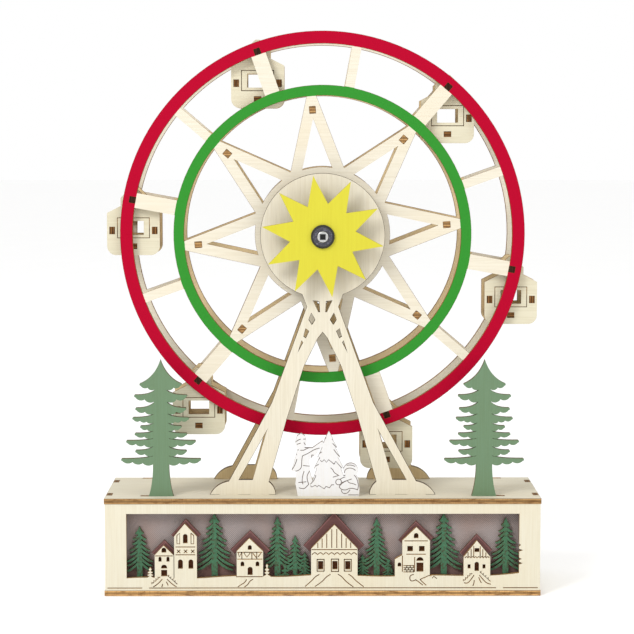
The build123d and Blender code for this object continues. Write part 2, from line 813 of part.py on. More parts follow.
for name, back_y in (("wheel_front_plate", front_plate_back_y), ("wheel_rear_plate", wheel_back_y)):
    with BuildPart() as wheel_plate:
        with BuildSketch(upright(back_y)):
            with Locations((0, axle_z)):
                add(wheel_outline())
        extrude(amount=ply)
    wheel_plate.part.label = name
    export_step(wheel_plate.part, f"parts/{name}.step")


with BuildPart() as tie_bars:
    with BuildSketch(upright(wheel_back_y)):
        with Locations((0, axle_z)):
            with PolarLocations(tie_bar_radius, star_tips, start_angle=star_first_angle):
                Rectangle(tie_tenon_width, tie_bar_thickness)
    extrude(amount=wheel_back_y - wheel_front_y)
    with BuildSketch(upright(rear_plate_front_y)):
        with Locations((0, axle_z)):
            with PolarLocations(tie_bar_radius, star_tips, start_angle=star_first_angle):
                Rectangle(tie_bar_width, tie_bar_thickness)
    extrude(amount=plate_gap)
tie_bars.part.label = "tie_bars"
export_step(tie_bars.part, "parts/tie_bars.step")


with BuildPart() as hanger_bars:
    with BuildSketch(upright(wheel_back_y)):
        with Locations((0, axle_z)):
            with PolarLocations(hanger_radius, spokes, start_angle=wide_spoke_angle):
                Rectangle(hanger_bar, hanger_bar)
    extrude(amount=wheel_back_y - wheel_front_y)
hanger_bars.part.label = "hanger_bars"
export_step(hanger_bars.part, "parts/hanger_bars.step")


# ---------------------------------------------------------------- axle, spacers and sun


sun_back_y = support_front_y - sun_standoff
sun_front_y = sun_back_y - ply
arm_front_y = support_rear_y + ply + side_play
arm_back_y = arm_front_y + ply

with BuildPart() as axle:
    with BuildSketch(upright(arm_front_y)):
        with Locations((0, axle_z)):
            Circle(axle_diameter / 2)
    extrude(amount=arm_front_y - sun_back_y)
    with BuildSketch(upright(arm_back_y - axle_square_play)):
        with Locations((0, axle_z)):
            Rectangle(axle_square, axle_square)
    extrude(amount=ply - axle_square_play)
    with BuildSketch(upright(sun_back_y + pilot_depth)):
        with Locations((0, axle_z)):
            Circle(screw_diameter / 2 + slot_gap)
    extrude(amount=pilot_depth, mode=Mode.SUBTRACT)
    with BuildSketch(upright(arm_back_y - axle_square_play)):
        with Locations((0, axle_z)):
            Circle(screw_diameter / 2 + slot_gap)
    extrude(amount=pilot_depth + ply, mode=Mode.SUBTRACT)
axle.part.label = "axle"
export_step(axle.part, "parts/axle.step")


sleeves = (
    ("sun_spacer", support_front_y - side_play, sun_standoff - side_play),
    ("front_hub_spacer", wheel_front_y, hub_gap - side_play),
    ("rear_hub_spacer", support_rear_y - side_play, hub_gap - side_play),
)
for name, back_y, length in sleeves:
    with BuildPart() as sleeve:
        with BuildSketch(upright(back_y)):
            with Locations((0, axle_z)):
                Circle(spacer_diameter / 2)
                Circle(axle_diameter / 2 + slot_gap, mode=Mode.SUBTRACT)
        extrude(amount=length)
    sleeve.part.label = name
    export_step(sleeve.part, f"parts/{name}.step")


with BuildPart() as sun:
    with BuildSketch(upright(sun_back_y)):
        rays = []
        for ray in range(sun_points):
            ray_angle = sun_first_angle + ray * 360 / sun_points
            rays.append(wheel_point(sun_radius, ray_angle))
            rays.append(wheel_point(sun_valley_radius, ray_angle + 180 / sun_points))
        add(polygon(rays))
        with Locations((0, axle_z)):
            Circle(screw_diameter / 2 + slot_gap, mode=Mode.SUBTRACT)
    extrude(amount=ply)
sun.part.label = "sun"
export_step(sun.part, "parts/sun.step")


def disc_washer(diameter, height, bevel, seat_y, towards_front):
    """Washer round the axle's line with its outer rim bevelled on the free side."""
    back_y = seat_y if towards_front else seat_y + height
    with BuildPart() as washer:
        with BuildSketch(upright(back_y)):
            with Locations((0, axle_z)):
                Circle(diameter / 2)
        extrude(amount=height)
        if bevel:
            free_face = washer.faces().sort_by(Axis.Y)[0 if towards_front else -1]
            chamfer(free_face.edges(), length=bevel)
        with BuildSketch(upright(back_y)):
            with Locations((0, axle_z)):
                Circle(screw_diameter / 2 + slot_gap)
        extrude(amount=height, mode=Mode.SUBTRACT)
    return washer.part


def pan_screw(seat_y, towards_front):
    """Screw with a rounded head and a square recess; seat_y is the head's underside."""
    out = -1 if towards_front else 1
    head_end = seat_y + out * screw_head_height
    with BuildPart() as screw:
        with BuildSketch(upright(max(seat_y, head_end))):
            with Locations((0, axle_z)):
                Circle(screw_head_diameter / 2)
        extrude(amount=screw_head_height)
        crown = screw.faces().sort_by(Axis.Y)[0 if towards_front else -1]
        fillet(crown.edges(), radius=screw_head_rounding)
        with BuildSketch(upright(max(seat_y, seat_y - out * screw_length))):
            with Locations((0, axle_z)):
                Circle(screw_diameter / 2)
        extrude(amount=screw_length)
        with BuildSketch(upright(max(head_end, head_end - out * recess_depth))):
            with Locations((0, axle_z)):
                Rectangle(recess_width, recess_width, rotation=45)
        extrude(amount=recess_depth, mode=Mode.SUBTRACT)
    return screw.part


sun_washer = disc_washer(washer_diameter, washer_height, washer_bevel, sun_front_y, True)
sun_washer.label = "sun_washer"
export_step(sun_washer, "parts/sun_washer.step")

sun_screw = pan_screw(sun_front_y - washer_height, True)
sun_screw.label = "sun_screw"
export_step(sun_screw, "parts/sun_screw.step")


# ---------------------------------------------------------------- crank


knob_z = axle_z - crank_throw

with BuildPart() as crank_arm:
    with BuildSketch(upright(arm_back_y)):
        with BuildSketch(mode=Mode.PRIVATE) as rounds:
            with Locations((0, axle_z)):
                Circle(crank_hub_radius)
            with Locations((0, knob_z)):
                Circle(crank_end_radius)
        make_hull(rounds.sketch.edges())
        with Locations((0, axle_z)):
            Rectangle(
                axle_square + 2 * slot_gap,
                axle_square + 2 * slot_gap,
                mode=Mode.SUBTRACT,
            )
        with Locations((0, knob_z)):
            Circle(knob_pin_diameter / 2 + slot_gap, mode=Mode.SUBTRACT)
    extrude(amount=ply)
crank_arm.part.label = "crank_arm"
export_step(crank_arm.part, "parts/crank_arm.step")

crank_washer = disc_washer(crank_washer_diameter, crank_washer_height, 0, arm_back_y, False)
crank_washer.label = "crank_washer"
export_step(crank_washer, "parts/crank_washer.step")

crank_screw = pan_screw(arm_back_y + crank_washer_height, False)
crank_screw.label = "crank_screw"
export_step(crank_screw, "parts/crank_screw.step")


knob_front_y = arm_back_y + side_play
knob_back_y = knob_front_y + knob_length

with BuildPart() as crank_knob:
    with BuildSketch(Plane.YZ):
        with BuildLine():
            knob_side = Spline(
                (knob_front_y, knob_z + knob_mouth / 2),
                (knob_front_y + knob_waist_share * knob_length, knob_z + knob_waist / 2),
                (knob_back_y - knob_crown, knob_z + knob_diameter / 2),
                tangents=((1, -0.2), (1, 0)),
            )
            ThreePointArc(
                knob_side @ 1,
                (knob_back_y - knob_crown_bulge[0], knob_z + knob_crown_bulge[1]),
                (knob_back_y, knob_z + knob_end_flat / 2),
            )
            Polyline(
                (knob_back_y, knob_z + knob_end_flat / 2),
                (knob_back_y, knob_z),
                (knob_front_y, knob_z),
                knob_side @ 0,
            )
        make_face()
    knob_axis = Axis((0, 0, knob_z), (0, 1, 0))
    revolve(axis=knob_axis)
    with BuildSketch(upright(knob_back_y)):
        with Locations((0, knob_z)):
            Circle(knob_pin_diameter / 2 + running_gap)
    extrude(amount=knob_length, mode=Mode.SUBTRACT)
crank_knob.part.label = "crank_knob"
export_step(crank_knob.part, "parts/crank_knob.step")


with BuildPart() as knob_pin:
    with BuildSketch(upright(knob_back_y + side_play)):
        with Locations((0, knob_z)):
            Circle(knob_pin_diameter / 2)
    extrude(amount=knob_back_y + side_play - arm_front_y)
    with BuildSketch(upright(knob_back_y + side_play + knob_pin_head_height)):
        with Locations((0, knob_z)):
            Circle(knob_pin_head / 2)
    extrude(amount=knob_pin_head_height)
    pin_crown = knob_pin.faces().sort_by(Axis.Y)[-1]
    fillet(pin_crown.edges(), radius=knob_pin_head_rounding)
knob_pin.part.label = "knob_pin"
export_step(knob_pin.part, "parts/knob_pin.step")


# ---------------------------------------------------------------- gondolas


def cab_end_outline():
    """End plate of a gondola about its hanger bar, with hole, window and slots."""
    hanger_hole = hanger_bar / sqrt(2) + running_gap
    with BuildSketch() as sketch:
        with BuildLine():
            Polyline(
                (0, cab_bottom),
                (cab_half_width, cab_bottom),
                (cab_half_width, cab_eaves),
                cab_shoulder,
                (cab_shoulder[0], cab_hanger_side),
                cab_hanger_top,
                (0, cab_hanger_top[1]),
                (0, cab_bottom),
            )
        make_face()
        low_corner = sketch.vertices().group_by(Axis.Y)[0].sort_by(Axis.X)[-1]
        fillet(low_corner, radius=cab_corner_radius)
        mirror(about=Plane.YZ)
        Circle(hanger_hole, mode=Mode.SUBTRACT)
        with Locations((0, cab_window_z)):
            Rectangle(*cab_window, mode=Mode.SUBTRACT)
        with Locations((-cab_wall_x, cab_wall_tenon_z), (cab_wall_x, cab_wall_tenon_z)):
            Rectangle(
                cab_ply + 2 * slot_gap,
                cab_wall_tenon + 2 * slot_gap,
                mode=Mode.SUBTRACT,
            )
        with Locations((0, cab_floor_z)):
            Rectangle(
                cab_floor_tenon + 2 * slot_gap,
                cab_ply + 2 * slot_gap,
                mode=Mode.SUBTRACT,
            )
    return sketch.sketch


def cab_cross_piece(middles, size, tenon):
    """Pieces between the end plates at the points middles, with a tenon at each end."""
    with BuildPart() as piece:
        with BuildSketch(upright(cab_back_y - cab_ply)):
            with Locations(*middles):
                Rectangle(*size)
        extrude(amount=cab_depth - 2 * cab_ply)
        with BuildSketch(upright(cab_back_y)):
            with Locations(*[(x, z + tenon[0]) for x, z in middles]):
                Rectangle(tenon[1], tenon[2])
        extrude(amount=cab_depth)
    return piece.part


cab_wall_height = cab_wall_top - cab_wall_bottom
cab_wall_middle = (cab_wall_top + cab_wall_bottom) / 2
cab_floor_width = 2 * (cab_wall_x + cab_ply / 2)

for number in range(1, spokes + 1):
    hang_x, hang_z = wheel_point(hanger_radius, wide_spoke_angle + (number - 1) * 360 / spokes)

    for end, back_y in (("front", cab_front_y + cab_ply), ("rear", cab_back_y)):
        name = f"gondola_{number}_{end}_plate"
        with BuildPart() as cab_end:
            with BuildSketch(upright(back_y)):
                with Locations((hang_x, hang_z)):
                    add(cab_end_outline())
            extrude(amount=cab_ply)
        cab_end.part.label = name
        export_step(cab_end.part, f"parts/{name}.step")

    name = f"gondola_{number}_walls"
    cab_walls = cab_cross_piece(
        [(hang_x + side * cab_wall_x, hang_z + cab_wall_middle) for side in (-1, 1)],
        (cab_ply, cab_wall_height),
        (cab_wall_tenon_z - cab_wall_middle, cab_ply, cab_wall_tenon),
    )
    cab_walls.label = name
    export_step(cab_walls, f"parts/{name}.step")

    name = f"gondola_{number}_floor"
    cab_floor = cab_cross_piece(
        [(hang_x, hang_z + cab_floor_z)],
        (cab_floor_width, cab_ply),
        (0, cab_floor_tenon, cab_ply),
    )
    cab_floor.label = name
    export_step(cab_floor, f"parts/{name}.step")


# ---------------------------------------------------------------- trees and white scene


for name, side in (("left_tree", -1), ("right_tree", 1)):
    with BuildPart() as tree:
        with BuildSketch(upright(scenery_y + ply)):
            with Locations((side * tree_x, deck_z)):
                add(fir_outline(tree_height, tree_tiers, tree_trunk, tree_foot, tree_tip))
            with Locations((side * tree_x, deck_z - ply / 2)):
                Rectangle(tree_tenon, ply)
        extrude(amount=ply)
    tree.part.label = name
    export_step(tree.part, f"parts/{name}.step")


with BuildPart() as winter_scene:
    with BuildSketch(upright(scenery_y + ply)):
        with Locations((0, deck_z)):
            left_half = [(2 * scene_fir_x - x, z) for x, z in scene_fir[:0:-1]]
            add(polygon([*scene_fir, *left_half]))
            for outline in (scene_child_hat, scene_child_coat, scene_kneeler_body):
                add(polygon(outline))
            add(polygon((
                (scene_base[0], 0),
                (scene_base[0] + scene_base_slant, scene_base_height),
                (scene_base[1] - scene_base_slant, scene_base_height),
                (scene_base[1], 0),
            )))
        for x, z, radius in (scene_child_head, scene_kneeler_head):
            with Locations((x, deck_z + z)):
                Circle(radius)
        with Locations((scene_mid_x, deck_z - ply / 2)):
            Rectangle(scene_tenon, ply)
    extrude(amount=ply)
winter_scene.part.label = "winter_scene"
export_step(winter_scene.part, "parts/winter_scene.step")
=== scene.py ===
"""
Looks of the hand-cranked plywood ferris wheel: finishes, paint, laser-engraved lines and cloth.

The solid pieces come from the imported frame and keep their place. This file gives every one of them
its finish and cuts the engraved lines into the boards that carry them.
"""

import json
import math

import bpy
from bpy.props import FloatProperty, FloatVectorProperty, PointerProperty
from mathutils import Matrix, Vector


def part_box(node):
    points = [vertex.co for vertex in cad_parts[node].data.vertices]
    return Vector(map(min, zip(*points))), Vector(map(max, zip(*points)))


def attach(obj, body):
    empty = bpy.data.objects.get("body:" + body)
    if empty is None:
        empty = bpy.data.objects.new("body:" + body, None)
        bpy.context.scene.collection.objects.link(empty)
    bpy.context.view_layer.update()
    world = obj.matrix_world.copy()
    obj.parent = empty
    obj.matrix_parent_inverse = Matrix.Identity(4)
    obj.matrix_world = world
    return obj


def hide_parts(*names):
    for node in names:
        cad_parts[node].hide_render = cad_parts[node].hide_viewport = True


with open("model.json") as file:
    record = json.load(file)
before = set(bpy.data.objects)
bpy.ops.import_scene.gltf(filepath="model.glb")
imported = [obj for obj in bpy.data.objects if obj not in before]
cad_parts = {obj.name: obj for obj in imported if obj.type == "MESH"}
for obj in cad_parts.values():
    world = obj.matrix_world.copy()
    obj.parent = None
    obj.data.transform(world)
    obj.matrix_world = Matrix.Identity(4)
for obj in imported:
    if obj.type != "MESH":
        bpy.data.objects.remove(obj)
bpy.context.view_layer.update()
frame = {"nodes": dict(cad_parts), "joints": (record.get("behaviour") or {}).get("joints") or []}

bl_info = {
    "name": "Plywood ferris wheel",
    "version": (1, 0, 0),
    "blender": (4, 5, 0),
    "location": "View3D > Sidebar > Ferris wheel",
    "description": "Dresses the plywood ferris wheel on its village box",
    "category": "Object",
}

MM = 0.001
GONDOLAS = range(1, 7)

WHEEL_JOINT = next(joint for joint in frame["joints"] if joint["name"] == "wheel_spin")
AXLE = Vector(WHEEL_JOINT["pos_m"])
DECK_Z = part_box("deck_board")[1].z / MM
PANEL_FRONT_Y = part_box("front_panel")[0].y
SCENE_FRONT_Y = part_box("winter_scene")[0].y
# the dark square is painted shade over the screw's recess, wider than the recess cut in the head
SCREW_RECESS_SHADE = 4.1      # width of the dark square in a screw's head, in millimetres
RECESS_BLUR = 0.25      # half the width of that square's soft border, in millimetres
# colour of that painted shade
RECESS_PAINTED_SHADE = (0.03, 0.03, 0.03)
WASHER_RIM = 6.9        # radius from which the washer's face is black, in millimetres
RUBBER_RIM = (0.05, 0.05, 0.06)
RUBBER_DARK = (0.11, 0.11, 0.13)
RUBBER_LIGHT = (0.25, 0.25, 0.29)
# colour of the painted highlights on the washer
RUBBER_PAINTED_HIGHLIGHT = (0.60, 0.59, 0.66)


# ---------------------------------------------------------------- settings


def colour_setting(name, description, default):
    """A colour that a user may change, in display values."""
    return FloatVectorProperty(
        name=name,
        description=description,
        default=default,
        min=0.0,
        max=1.0,
        size=3,
        subtype="COLOR_GAMMA",
    )


def length_setting(name, description, default):
    """A length that a user may change, in metres."""
    return FloatProperty(
        name=name,
        description=description,
        default=default,
        min=0.0,
        unit="LENGTH",
        subtype="DISTANCE",
        precision=5,
    )


def radius_setting(name, description, default):
    """A radius on the wheel, in millimetres."""
    return FloatProperty(name=name, description=description, default=default)


class WoodSettings(bpy.types.PropertyGroup):
    """Colours of the bare and burnt plywood, and the tan that paints warm shade on the boards behind.
    """

    panel: colour_setting("Box", "Face of the box boards", (0.812, 0.790, 0.718))
    support: colour_setting("Supports", "Face of the two supports", (0.810, 0.786, 0.720))
    wheel: colour_setting("Wheel", "Bare face of the wheel plates", (0.824, 0.800, 0.738))
    gondola: colour_setting("Gondolas", "Face of the gondolas", (0.796, 0.775, 0.690))
    burnt: colour_setting("Burnt edge", "Cut edge of a light board", (0.740, 0.585, 0.385))
    charred: colour_setting("Charred edge", "Scorched layers of a cut edge", (0.375, 0.245, 0.130))
    end_grain: colour_setting("Tenon ends", "Scorched layers of a tenon's end", (0.215, 0.130, 0.080))
    end_core: colour_setting("Tenon cores", "Paler layers of a tenon's end", (0.500, 0.350, 0.200))
    # tan of painted warm shade on the boards behind: the rear support, the rear wheel plate's middle,
    # and the gondolas' rear plates, walls and floors
    painted_shade_ply: colour_setting("Rear boards", "Veneer of the boards behind", (0.812, 0.732, 0.578))
    engraved: colour_setting("Engraving", "Bottom of an engraved line", (0.370, 0.255, 0.140))
    turned: colour_setting("Turned wood", "Axle, spacers and knob", (0.760, 0.640, 0.460))


class PaintSettings(bpy.types.PropertyGroup):
    """Colours of the painted pieces."""

    red: colour_setting("Red ring", "Paint of the outer ring", (0.640, 0.000, 0.146))
    green: colour_setting("Green ring", "Paint of the inner ring", (0.185, 0.508, 0.170))
    sun: colour_setting("Sun", "Paint of the star on the axle", (0.758, 0.732, 0.228))
    tree: colour_setting("Trees", "Paint of the two trees on the deck", (0.400, 0.495, 0.390))
    village_green: colour_setting("Village firs", "Paint of the firs", (0.262, 0.425, 0.325))
    roof: colour_setting("Roofs", "Stain of the village roofs", (0.372, 0.262, 0.258))
    backing: colour_setting("House backing", "Stain behind windows and doors", (0.430, 0.275, 0.180))
    white: colour_setting("White scene", "Paint of the white cut-out", (0.830, 0.828, 0.830))
    cloth: colour_setting("Backdrop", "Cloth behind the village", (0.560, 0.520, 0.510))


class EngravingSettings(bpy.types.PropertyGroup):
    """Widths and depths of the engraved lines, and the arris of every board."""

    village_line: length_setting("Village lines", "Width of the lines on the houses", 0.70 * MM)
    gondola_line: length_setting("Gondola lines", "Width of the frames round the windows", 0.55 * MM)
    scene_line: length_setting("White scene lines", "Width of the lines on the white scene", 0.55 * MM)
    depth: length_setting("Depth", "Depth of every engraved line", 0.35 * MM)
    arris: length_setting("Arris", "Width of the burnt arris along a cut edge", 0.18 * MM)
    wide_arris: length_setting("Wide arris", "The same on the front panel and the gondolas", 0.28 * MM)
    support_arris: length_setting("Support arris", "The same on the two supports", 0.50 * MM)


class StageSettings(bpy.types.PropertyGroup):
    """Camera, lights and floor."""

    camera_x: length_setting("Camera side", "How far left of the middle the camera stands", 10 * MM)
    camera_distance: length_setting("Camera distance", "From the middle of the box", 1.4966)
    camera_height: length_setting("Camera height", "Over the floor", 0.3345)
    camera_pitch: FloatProperty(
        name="Camera pitch",
        description="How far the camera looks down",
        default=math.radians(5.243),
        subtype="ANGLE",
    )
    camera_yaw: FloatProperty(
        name="Camera yaw",
        description="How far the camera looks to the right",
        default=math.radians(0.233),
        subtype="ANGLE",
    )
    camera_lens: FloatProperty(
        name="Focal length",
        description="Focal length on a 36 mm sensor",
        default=116.66,
        unit="CAMERA",
    )
    floor_radius: length_setting("Floor", "Radius of the floor", 12.0)
    key_size: length_setting("Key size", "Side of the main light", 0.7)
    key_energy: FloatProperty(name="Key light", description="Power of the main light", default=24.0)
    fill_energy: FloatProperty(name="Fill light", description="Power of the second light", default=6.5)


SETTING_GROUPS = {
    "ferris_wood": WoodSettings,
    "ferris_paint": PaintSettings,
    "ferris_engraving": EngravingSettings,
    "ferris_stage": StageSettings,
}


def linear(colour):
    """Scene-linear values of a display colour."""
    return tuple(
        value / 12.92 if value <= 0.04045 else ((value + 0.055) / 1.055) ** 2.4 for value in colour
    )


def shaded(colour, factor):
    """A display colour made darker or lighter."""
    return tuple(min(1.0, value * factor) for value in colour)


# ---------------------------------------------------------------- node shorthand


class Finish:
    """A material whose nodes are added one call at a time. A value is a number, a tuple or a socket."""

    def __init__(self, name, roughness=0.6, metallic=0.0, gloss=0.5):
        self.material = bpy.data.materials.new(name)
        self.material.use_nodes = True
        self.tree = self.material.node_tree
        self.shader = self.tree.nodes["Principled BSDF"]
        self.shader.inputs["Roughness"].default_value = roughness
        self.shader.inputs["Metallic"].default_value = metallic
        self.shader.inputs["Specular IOR Level"].default_value = gloss
        coordinates = self.tree.nodes.new("ShaderNodeTexCoord")
        self.normal = coordinates.outputs["Normal"]
        self.position = self.vector("SCALE", coordinates.outputs["Object"], scale=1 / MM)

    def put(self, socket, value):
        """Links a socket or sets a value."""
        if isinstance(value, bpy.types.NodeSocket):
            self.tree.links.new(value, socket)
        elif hasattr(value, "__len__") and socket.type == "RGBA":
            socket.default_value = (*value[:3], 1.0)
        else:
            socket.default_value = value

    def math(self, operation, *values):
        """Math node; the values fill its inputs in order."""
        node = self.tree.nodes.new("ShaderNodeMath")
        node.operation = operation
        for socket, value in zip(node.inputs, values):
            self.put(socket, value)
        return node.outputs[0]

    def vector(self, operation, *values, scale=None):
        """Vector Math node."""
        node = self.tree.nodes.new("ShaderNodeVectorMath")
        node.operation = operation
        for socket, value in zip(node.inputs, values):
            self.put(socket, value)
        if scale is not None:
            self.put(node.inputs["Scale"], scale)
        return node.outputs["Value" if operation in ("LENGTH", "DOT_PRODUCT") else "Vector"]

    def step(self, value, low, high, start=0.0, end=1.0):
        """Smooth step from start at low to end at high."""
        node = self.tree.nodes.new("ShaderNodeMapRange")
        node.interpolation_type = "SMOOTHSTEP"
        for name, setting in zip(
            ("Value", "From Min", "From Max", "To Min", "To Max"), (value, low, high, start, end)
        ):
            self.put(node.inputs[name], setting)
        return node.outputs["Result"]

    def noise(self, stretch, detail=3.0, roughness=0.5, seed=0.0):
        """Noise in millimetres; stretch is how many features there are per millimetre on each axis."""
        node = self.tree.nodes.new("ShaderNodeTexNoise")
        moved = self.vector("ADD", self.vector("MULTIPLY", self.position, stretch), (seed, seed, seed))
        self.put(node.inputs["Vector"], moved)
        self.put(node.inputs["Scale"], 1.0)
        self.put(node.inputs["Detail"], detail)
        self.put(node.inputs["Roughness"], roughness)
        return node.outputs[0]

    def mix(self, share, first, second, blend="MIX"):
        """Colour between first and second."""
        node = self.tree.nodes.new("ShaderNodeMix")
        node.data_type = "RGBA"
        node.blend_type = blend
        self.put(node.inputs[0], share)
        self.put(node.inputs[6], first)
        self.put(node.inputs[7], second)
        return node.outputs[2]

    def ramp(self, value, stops):
        """Colour ramp through (place, colour) stops."""
        node = self.tree.nodes.new("ShaderNodeValToRGB")
        while len(node.color_ramp.elements) < len(stops):
            node.color_ramp.elements.new(0.5)
        for element, (place, colour) in zip(node.color_ramp.elements, stops):
            element.position = place
            element.color = (*colour, 1.0)
        self.put(node.inputs["Fac"], value)
        return node.outputs["Color"]

    def axes(self, vector):
        """The three parts of a vector."""
        node = self.tree.nodes.new("ShaderNodeSeparateXYZ")
        self.put(node.inputs[0], vector)
        return node.outputs

    def radius(self):
        """Distance from the axle, in millimetres."""
        offset = self.vector("SUBTRACT", self.position, tuple(AXLE / MM))
        return self.vector("LENGTH", self.vector("MULTIPLY", offset, (1.0, 0.0, 1.0)))

    def bump(self, height, distance, strength=1.0):
        """Gives the surface a relief of height times distance, in millimetres."""
        node = self.tree.nodes.new("ShaderNodeBump")
        self.put(node.inputs["Height"], height)
        self.put(node.inputs["Distance"], distance * MM)
        self.put(node.inputs["Strength"], strength)
        self.put(self.shader.inputs["Normal"], node.outputs["Normal"])

    def colour(self, value):
        """Sets the base colour."""
        self.put(self.shader.inputs["Base Color"], value)

    def roughness(self, value):
        """Sets the roughness from a socket."""
        self.put(self.shader.inputs["Roughness"], value)


# ---------------------------------------------------------------- finishes


ACROSS = {"X": 0, "Y": 1, "Z": 2}
GABLES = (              # each house's middle, half width, ridge's place and height, slope, in mm
    (-113.7, 6.7, -114.1, 36.6, 1.02),
    (-98.4, 8.1, -98.9, 52.4, 1.12),
    (-52.2, 9.4, -52.6, 41.8, 0.98),
    (8.4, 16.6, 8.4, 51.6, 1.04),
    (67.0, 9.9, 67.2, 49.9, 0.98),
    (54.6, 2.8, 57.1, 29.7, 0.58),
    (110.8, 9.5, 110.6, 40.1, 1.25),
)
ROOFS = (               # ridge's place and height and slope of each village roof, in millimetres
    (-113.7, 40.2, 1.01),
    (-98.3, 55.4, 1.09),
    (-52.1, 47.1, 1.00),
    (8.2, 60.2, 1.10),
    (67.0, 54.0, 1.04),
    (110.8, 44.4, 1.09),
)
# the pale line along each roof is a painted highlight on the roof's edge
ROOF_LINE_DROP = 1.1    # from a roof's outer edge down to the pale line along it
# painted reddish shade along the cloth's foot
REDDISH_FOOT = (17.0, 34.0)  # heights between which the cloth's reddish foot fades out, in mm
ROOF_LINE_BLUR = (0.20, 0.45)   # half widths between which that line fades out
LONG_GRAIN, CROSS_GRAIN = 0.035, 1.5    # grain features per millimetre along and across the fibres
LONG_PORES, CROSS_PORES = 0.16, 5.5     # the same for the pores
CLOUDS = 0.020          # warmer clouds per millimetre
BOARD_GLOSS = 0.06
EDGE_TO_FACE = (0.80, 0.93)     # the normal's share across the sheet at a cut edge and on a face
PAINT_BLUR = 0.08       # half the width of a painted ring's soft border, in mm
PAINT_WAVER = (0.5, -0.25)      # how far that border follows the fibres, in mm, and its shift
ENGRAVED_BAND = (0.05, 0.12)    # how far under a face the burn of an engraved line sets in, in mm
VENEERS = (             # places in a sheet's thickness, from face to face, and the layer
    (0.0, "glue"),
    (0.05, "glue"),
    (0.09, "outer"),
    (0.29, "outer"),
    (0.34, "glue"),
    (0.39, "core"),
    (0.61, "core"),
    (0.66, "glue"),
    (0.71, "outer"),
    (0.91, "outer"),
    (0.95, "glue"),
)


def stretched(axis, along, across):
    """Features per millimetre: along on one axis and across on the two others."""
    return tuple(along if index == ACROSS[axis] else across for index in range(3))


def painted_rings(finish, surface, facing, fibres, rings):
    """Paints (inner radius, outer radius, colour) rings about the axle on the front face."""
    mottle = finish.noise((1.1, 1.1, 1.1), 3.0, 0.6, seed=23.0)
    radius = finish.math("ADD", finish.radius(), finish.math("MULTIPLY_ADD", fibres, *PAINT_WAVER))
    front = finish.step(facing[1], -0.60, -0.50, 1.0, 0.0)
    for inner, outer, shade in rings:
        inside = finish.step(radius, inner - PAINT_BLUR, inner + PAINT_BLUR)
        outside = finish.step(radius, outer - PAINT_BLUR, outer + PAINT_BLUR, 1.0, 0.0)
        covered = finish.math("MULTIPLY", finish.math("MULTIPLY", inside, outside), front)
        coat = finish.mix(mottle, linear(shaded(shade, 1.04)), linear(shaded(shade, 0.94)))
        surface = finish.mix(covered, surface, coat)
    return surface


def under_roof(finish, place, ridge, top, slope):
    """How far a place lies under the two slopes of a roof, in millimetres."""
    beside = finish.math("ABSOLUTE", finish.math("SUBTRACT", place[0], ridge))
    return finish.math("SUBTRACT", finish.math("MULTIPLY_ADD", beside, -slope, top), place[2])


def stained_village(finish, surface, place, fibres, face, backing):
    """Paints a pale line along every roof as a painted highlight on its edge, and stains what the
    houses' windows show.
    """
    for ridge, top, slope in ROOFS:
        drop = under_roof(finish, place, ridge, top, slope)
        away = finish.math("ABSOLUTE", finish.math("SUBTRACT", drop, ROOF_LINE_DROP))
        # painted highlight along the roof's edge
        line = finish.step(away, *ROOF_LINE_BLUR, 0.75, 0.0)
        drawn = finish.math("MULTIPLY", line, finish.step(fibres, 0.3, 0.5))
        surface = finish.mix(drawn, surface, linear(shaded(face, 1.42)))
    stain = finish.mix(finish.step(fibres, 0.3, 0.7), linear(backing), linear(shaded(backing, 0.86)))
    inside = 0.0
    for middle, half, ridge, top, slope in GABLES:
        beside = finish.math("ABSOLUTE", finish.math("SUBTRACT", place[0], middle))
        within = finish.step(beside, half - 0.3, half, 1.0, 0.0)
        drop = under_roof(finish, place, ridge, top, slope)
        house = finish.math("MULTIPLY", within, finish.step(drop, 0.2, 0.6))
        inside = finish.math("MAXIMUM", inside, house)
    return finish.mix(inside, surface, stain)


